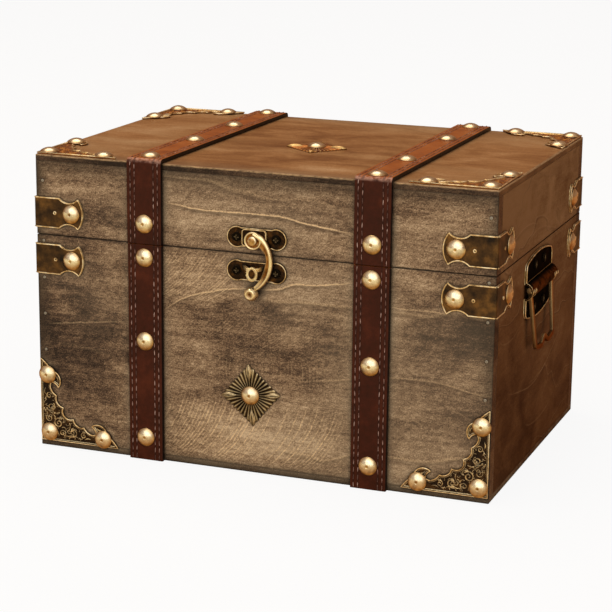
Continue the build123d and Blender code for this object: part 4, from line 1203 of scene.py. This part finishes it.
def makeHook(shape):
    low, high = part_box("latch_rivet")
    pivot = (low + high) / 2
    hookFrame = faceFrame((pivot.x, -halfDepth, pivot.z), rightward, upward, frontOut)
    reach, hub, steps, polishFrom = shape["reach"], shape["hub"], shape["steps"], shape["polishFrom"]
    ball = Vector(shape["ball"]) * reach
    inner, outer = (
        smoothLine([start, *[(u * reach, v * reach) for u, v in shape[side]]], steps)
        for side, start in (("inner", (0, 0)), ("outer", (0, hub)))
    )
    bm, wear = newWorn()
    rows = []
    for i, (near, far) in enumerate(zip(inner, outer)):
        row = []
        towardBall = max(0.0, i / steps - polishFrom) * shape["polish"]
        for share, rise, worn in shape["section"]:
            height = shape["standoff"] + rise * shape["thickness"]
            row.append(bm.verts.new(onFace(hookFrame, *near.lerp(far, share), height)))
            row[-1][wear] = min(1.0, worn + towardBall * (rise > polishFrom))
        rows.append(row)
    joinRows(bm, rows)
    bm.faces.new(rows[0])
    bm.faces.new(rows[-1])
    top = shape["standoff"] + shape["thickness"]
    ring = [(hub - inset, top + rise, worn) for inset, rise, worn in shape["hubRing"]]
    spinProfile(bm, wear, hookFrame, ring, steps)
    ballFrame = (hookFrame[0], onFace(hookFrame, ball.x, ball.y, shape["ballLift"]))
    size = shape["ballRadius"]
    profile = []
    for degrees in range(0, 136, 9):
        worn = min(1.0, max(0.1, (degrees - 60) / 60))
        profile.append((size * sin(radians(degrees)), -size * cos(radians(degrees)), worn))
    profile += [(reach * size, rise * size, worn) for reach, rise, worn in shape["ballRing"]]
    spinProfile(bm, wear, ballFrame, profile, 40)
    return newPiece("latch_arm_cast", meshFromBm("latch_arm", bm), castLatch)


hook = makeHook(hookShape)
seatPiece(hook, "hook", "antique_brass", "latch_arm")


# Domed rivet that the hook turns on
rivetShape = {"head": 2.2, "rise": 0.9, "under": 3.8, "shank": 1.1, "lip": 0.12, "steps": 40}


def makeRivet(shape):
    low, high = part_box("latch_rivet")
    middle = (low + high) / 2
    rivetFrame = faceFrame((middle.x, -halfDepth, middle.z), rightward, upward, frontOut)
    head, under, end = shape["head"], shape["under"], (-high.y - halfDepth) / mm
    profile = [(0, under + shape["rise"], 0.15)]
    for degrees in range(12, 91, 13):
        height = under + shape["lip"] + (shape["rise"] - shape["lip"]) * cos(radians(degrees))
        profile.append((head * sin(radians(degrees)), height, 0.1 if degrees < 45 else 0.8))
    profile += [(head, under, 0.2), (shape["shank"], under, 0), (shape["shank"], end, 0), (0, end, 0)]
    bm, wear = newWorn()
    spinProfile(bm, wear, rivetFrame, profile, shape["steps"])
    return newPiece("latch_rivet_domed", meshFromBm("latch_rivet", bm), gilt)


seatPiece(makeRivet(rivetShape), "lid", "antique_brass", "latch_rivet")
print("latch cast")


# Rounded copy of a CAD part: its sharp edges rolled over
def roundedCopy(nodeName, width, material, wearAt, steps=3, sharpAngle=35):
    piece = newPiece(nodeName + "_rounded", meshFromBm(nodeName, readNode(nodeName, flatAngle=3)), material)
    roller = piece.modifiers.new("rolled", "BEVEL")
    roller.width, roller.segments = width * mm, steps
    roller.limit_method, roller.angle_limit = "ANGLE", radians(sharpAngle)
    bakeModifiers(piece)
    worn = [wearAt(vert.co, vert.normal) for vert in piece.data.vertices]
    piece.data.attributes.new("wear", "FLOAT", "POINT").data.foreach_set("value", worn)
    return piece


# The bails are polished and carry a painted highlight along their rolled edges, and are darker where they hang
# lowest
bailShape = {"roll": 0.55, "dullTo": 3, "fade": 4, "dullShare": 0.25, "flat": 0.985, "edge": 0.1, "least": 0.5}


def bailPolishAndHighlight(co, normal):
    raised = (co.z - bailLow - bailShape["dullTo"] * mm) / (bailShape["fade"] * mm)
    flat = max(abs(normal.x), abs(normal.y), abs(normal.z))
    edge = min(1.0, max(0.0, (bailShape["flat"] - flat) / bailShape["edge"]))
    least = bailShape["least"]
    return (least + (1 - least) * edge) * min(1.0, max(bailShape["dullShare"], raised))


# The hook polishes the ring that it holds, which stands out from the plate
catchShape = {"roll": 0.22, "dullTo": 1.6}


def catchWear(co, normal):
    return min(1.0, max(0.0, (-halfDepth - co.y) / mm - catchShape["dullTo"]))


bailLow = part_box("handle_right_bail")[0].z
for hand in ("left", "right"):
    bail = roundedCopy(f"handle_{hand}_bail", bailShape["roll"], polishedBail, bailPolishAndHighlight)
    seatPiece(bail, f"{hand}_bail", "antique_brass", f"handle_{hand}_bail")
catch = roundedCopy("latch_catch_plate", catchShape["roll"], castCatch, catchWear)
seatPiece(catch, "base", "antique_brass", "latch_catch_plate")
print("bails and catch rolled")


# Camera at the photograph's place, for a square frame
cameraView = {
    "azimuth": 20.734, "elevation": 14.179, "roll": 0.623, "place": (332.25, -892.28, 302.82),
    "focalPixels": 1982.1, "framePixels": 612, "sensor": 36.0,
}


def makeCamera(view):
    data = bpy.data.cameras.new("photographView")
    data.sensor_width = view["sensor"]
    data.lens = view["focalPixels"] / view["framePixels"] * view["sensor"]
    camera = newPiece("photographView", data)
    azimuth, elevation, roll = (radians(view[key]) for key in ("azimuth", "elevation", "roll"))
    back = Vector((sin(azimuth) * cos(elevation), -cos(azimuth) * cos(elevation), sin(elevation)))
    level = Vector((cos(azimuth), sin(azimuth), 0))
    up = back.cross(level)
    right = level * cos(roll) + up * sin(roll)
    up = up * cos(roll) - level * sin(roll)
    turn = Matrix((right, up, back)).transposed().to_4x4()
    camera.matrix_world = Matrix.Translation(Vector(view["place"]) * mm) @ turn
    bpy.context.scene.camera = camera


# Soft studio light: a large lamp in front and one overhead, placed and sized in metres
lamps = (
    {"name": "keyLamp", "place": (0.2, -2.1, 1.0), "size": 3.2, "watts": 24.0, "color": "#FFFAF2"},
    {"name": "topLamp", "place": (-0.4, 0.3, 1.9), "size": 1.6, "watts": 13.0, "color": "#FFF6EA"},
)


def makeLamp(lamp):
    data = bpy.data.lights.new(lamp["name"], "AREA")
    data.shape, data.size, data.energy = "DISK", lamp["size"], lamp["watts"]
    data.color = hexColor(lamp["color"])[:3]
    piece = newPiece(lamp["name"], data)
    piece.location = lamp["place"]
    aim = Vector((0, 0, caseTop / 2)) - Vector(lamp["place"])
    piece.rotation_euler = aim.to_track_quat("-Z", "Y").to_euler()


# White for the camera, and in part for reflections, so that metal keeps its depth
def addSeen(add, step, reflected):
    light = add("ShaderNodeLightPath").outputs
    mirrored = step("MULTIPLY", light["Is Glossy Ray"], reflected)
    return step("MAXIMUM", light["Is Camera Ray"], light["Is Transmission Ray"], mirrored)


# Soft light from the front and above; reflections of the dim rest of the room are amber
skyLook = {
    "dim": 0.16, "bright": 0.8, "from": (0.1, -0.62, 0.78), "dimColor": "#C88440", "brightColor": "#FFF8EE",
    "shown": 0.08, "mirrored": 0.25, "spread": 0.95,
}


def makeWorld(look):
    world = bpy.data.worlds.new("studio")
    bpy.context.scene.world = world
    world.use_nodes = True
    tree = world.node_tree
    tree.nodes.clear()
    add, step = partial(addNode, tree), partial(addStep, tree)
    share = step("dot", add("ShaderNodeTexCoord").outputs["Generated"], look["from"])
    share = step("range", share, 0.0, look["spread"])
    glossy = add("ShaderNodeLightPath").outputs["Is Glossy Ray"]
    dimShare = step("MULTIPLY", glossy, step("SUBTRACT", 1.0, share))
    level = step("range", share, 0.0, 1.0, look["dim"], look["bright"])
    soft = add("ShaderNodeBackground", {
        "Color": step("over", share, look["dimColor"], look["brightColor"]),
        "Strength": step("MULTIPLY_ADD", dimShare, look["mirrored"], level),
    })
    white = add("ShaderNodeBackground", {"Color": (1, 1, 1, 1), "Strength": 1.0})
    seen = addSeen(add, step, look["shown"])
    mixed = add("ShaderNodeMixShader", {0: seen, 1: soft.outputs[0], 2: white.outputs[0]})
    add("ShaderNodeOutputWorld", {"Surface": mixed.outputs[0]})


# Pale paper floor; the camera sees it near white and keeps the trunk's soft shadow.
# Glossy rays see it glow in a warm shade, cream in front and amber behind, as among brown furniture: a painted
# reflection for the metal.
floorShape = {
    "reach": 6000, "below": 0.2, "whiten": 0.9, "shown": 0.1, "paper": "#FBFAF8",
    "warmShare": 0.9, "warm": ("#B87430", "#F6E6BC"), "warmPlace": (20, -240), "warmStrength": 0.95,
}


def makeFloor(shape):
    material, add, step = newMaterial("pale_paper")[:3]
    place = add("ShaderNodeTexCoord").outputs["Object"]
    tooth = step("noise", place, 1 / (3 * mm), 3.0)
    paper = add("ShaderNodeBsdfPrincipled", {
        "Base Color": shape["paper"], "Roughness": 0.9, "Normal": step("bump", 0.1, 0.1 * mm, tooth),
    })
    white = add("ShaderNodeEmission", {"Color": (1, 1, 1, 1), "Strength": 1.0})
    share = step("MULTIPLY", addSeen(add, step, shape["shown"]), shape["whiten"])
    mixed = add("ShaderNodeMixShader", {0: share, 1: paper.outputs[0], 2: white.outputs[0]})
    start, end = shape["warmPlace"]
    away = step("range", axesOf(add, place)["Y"], start * mm, end * mm)
    shade = step("over", away, *shape["warm"])
    warm = add("ShaderNodeEmission", {"Strength": shape["warmStrength"], "Color": shade})
    glossy = step("MULTIPLY", add("ShaderNodeLightPath").outputs["Is Glossy Ray"], shape["warmShare"])
    final = add("ShaderNodeMixShader", {0: glossy, 1: mixed.outputs[0], 2: warm.outputs[0]})
    add("ShaderNodeOutputMaterial", {"Surface": final.outputs[0]})
    reach, height = shape["reach"] * mm, -shape["below"] * mm
    mesh = bpy.data.meshes.new("floor")
    corners = ((-1, -1), (1, -1), (1, 1), (-1, 1))
    mesh.from_pydata([(x * reach, y * reach, height) for x, y in corners], [], [(0, 1, 2, 3)])
    newPiece("floor", mesh, material)


makeCamera(cameraView)
for lamp in lamps:
    makeLamp(lamp)
makeWorld(skyLook)
makeFloor(floorShape)
bpy.context.scene.view_settings.view_transform = "Standard"
print("camera, lamps and floor placed")
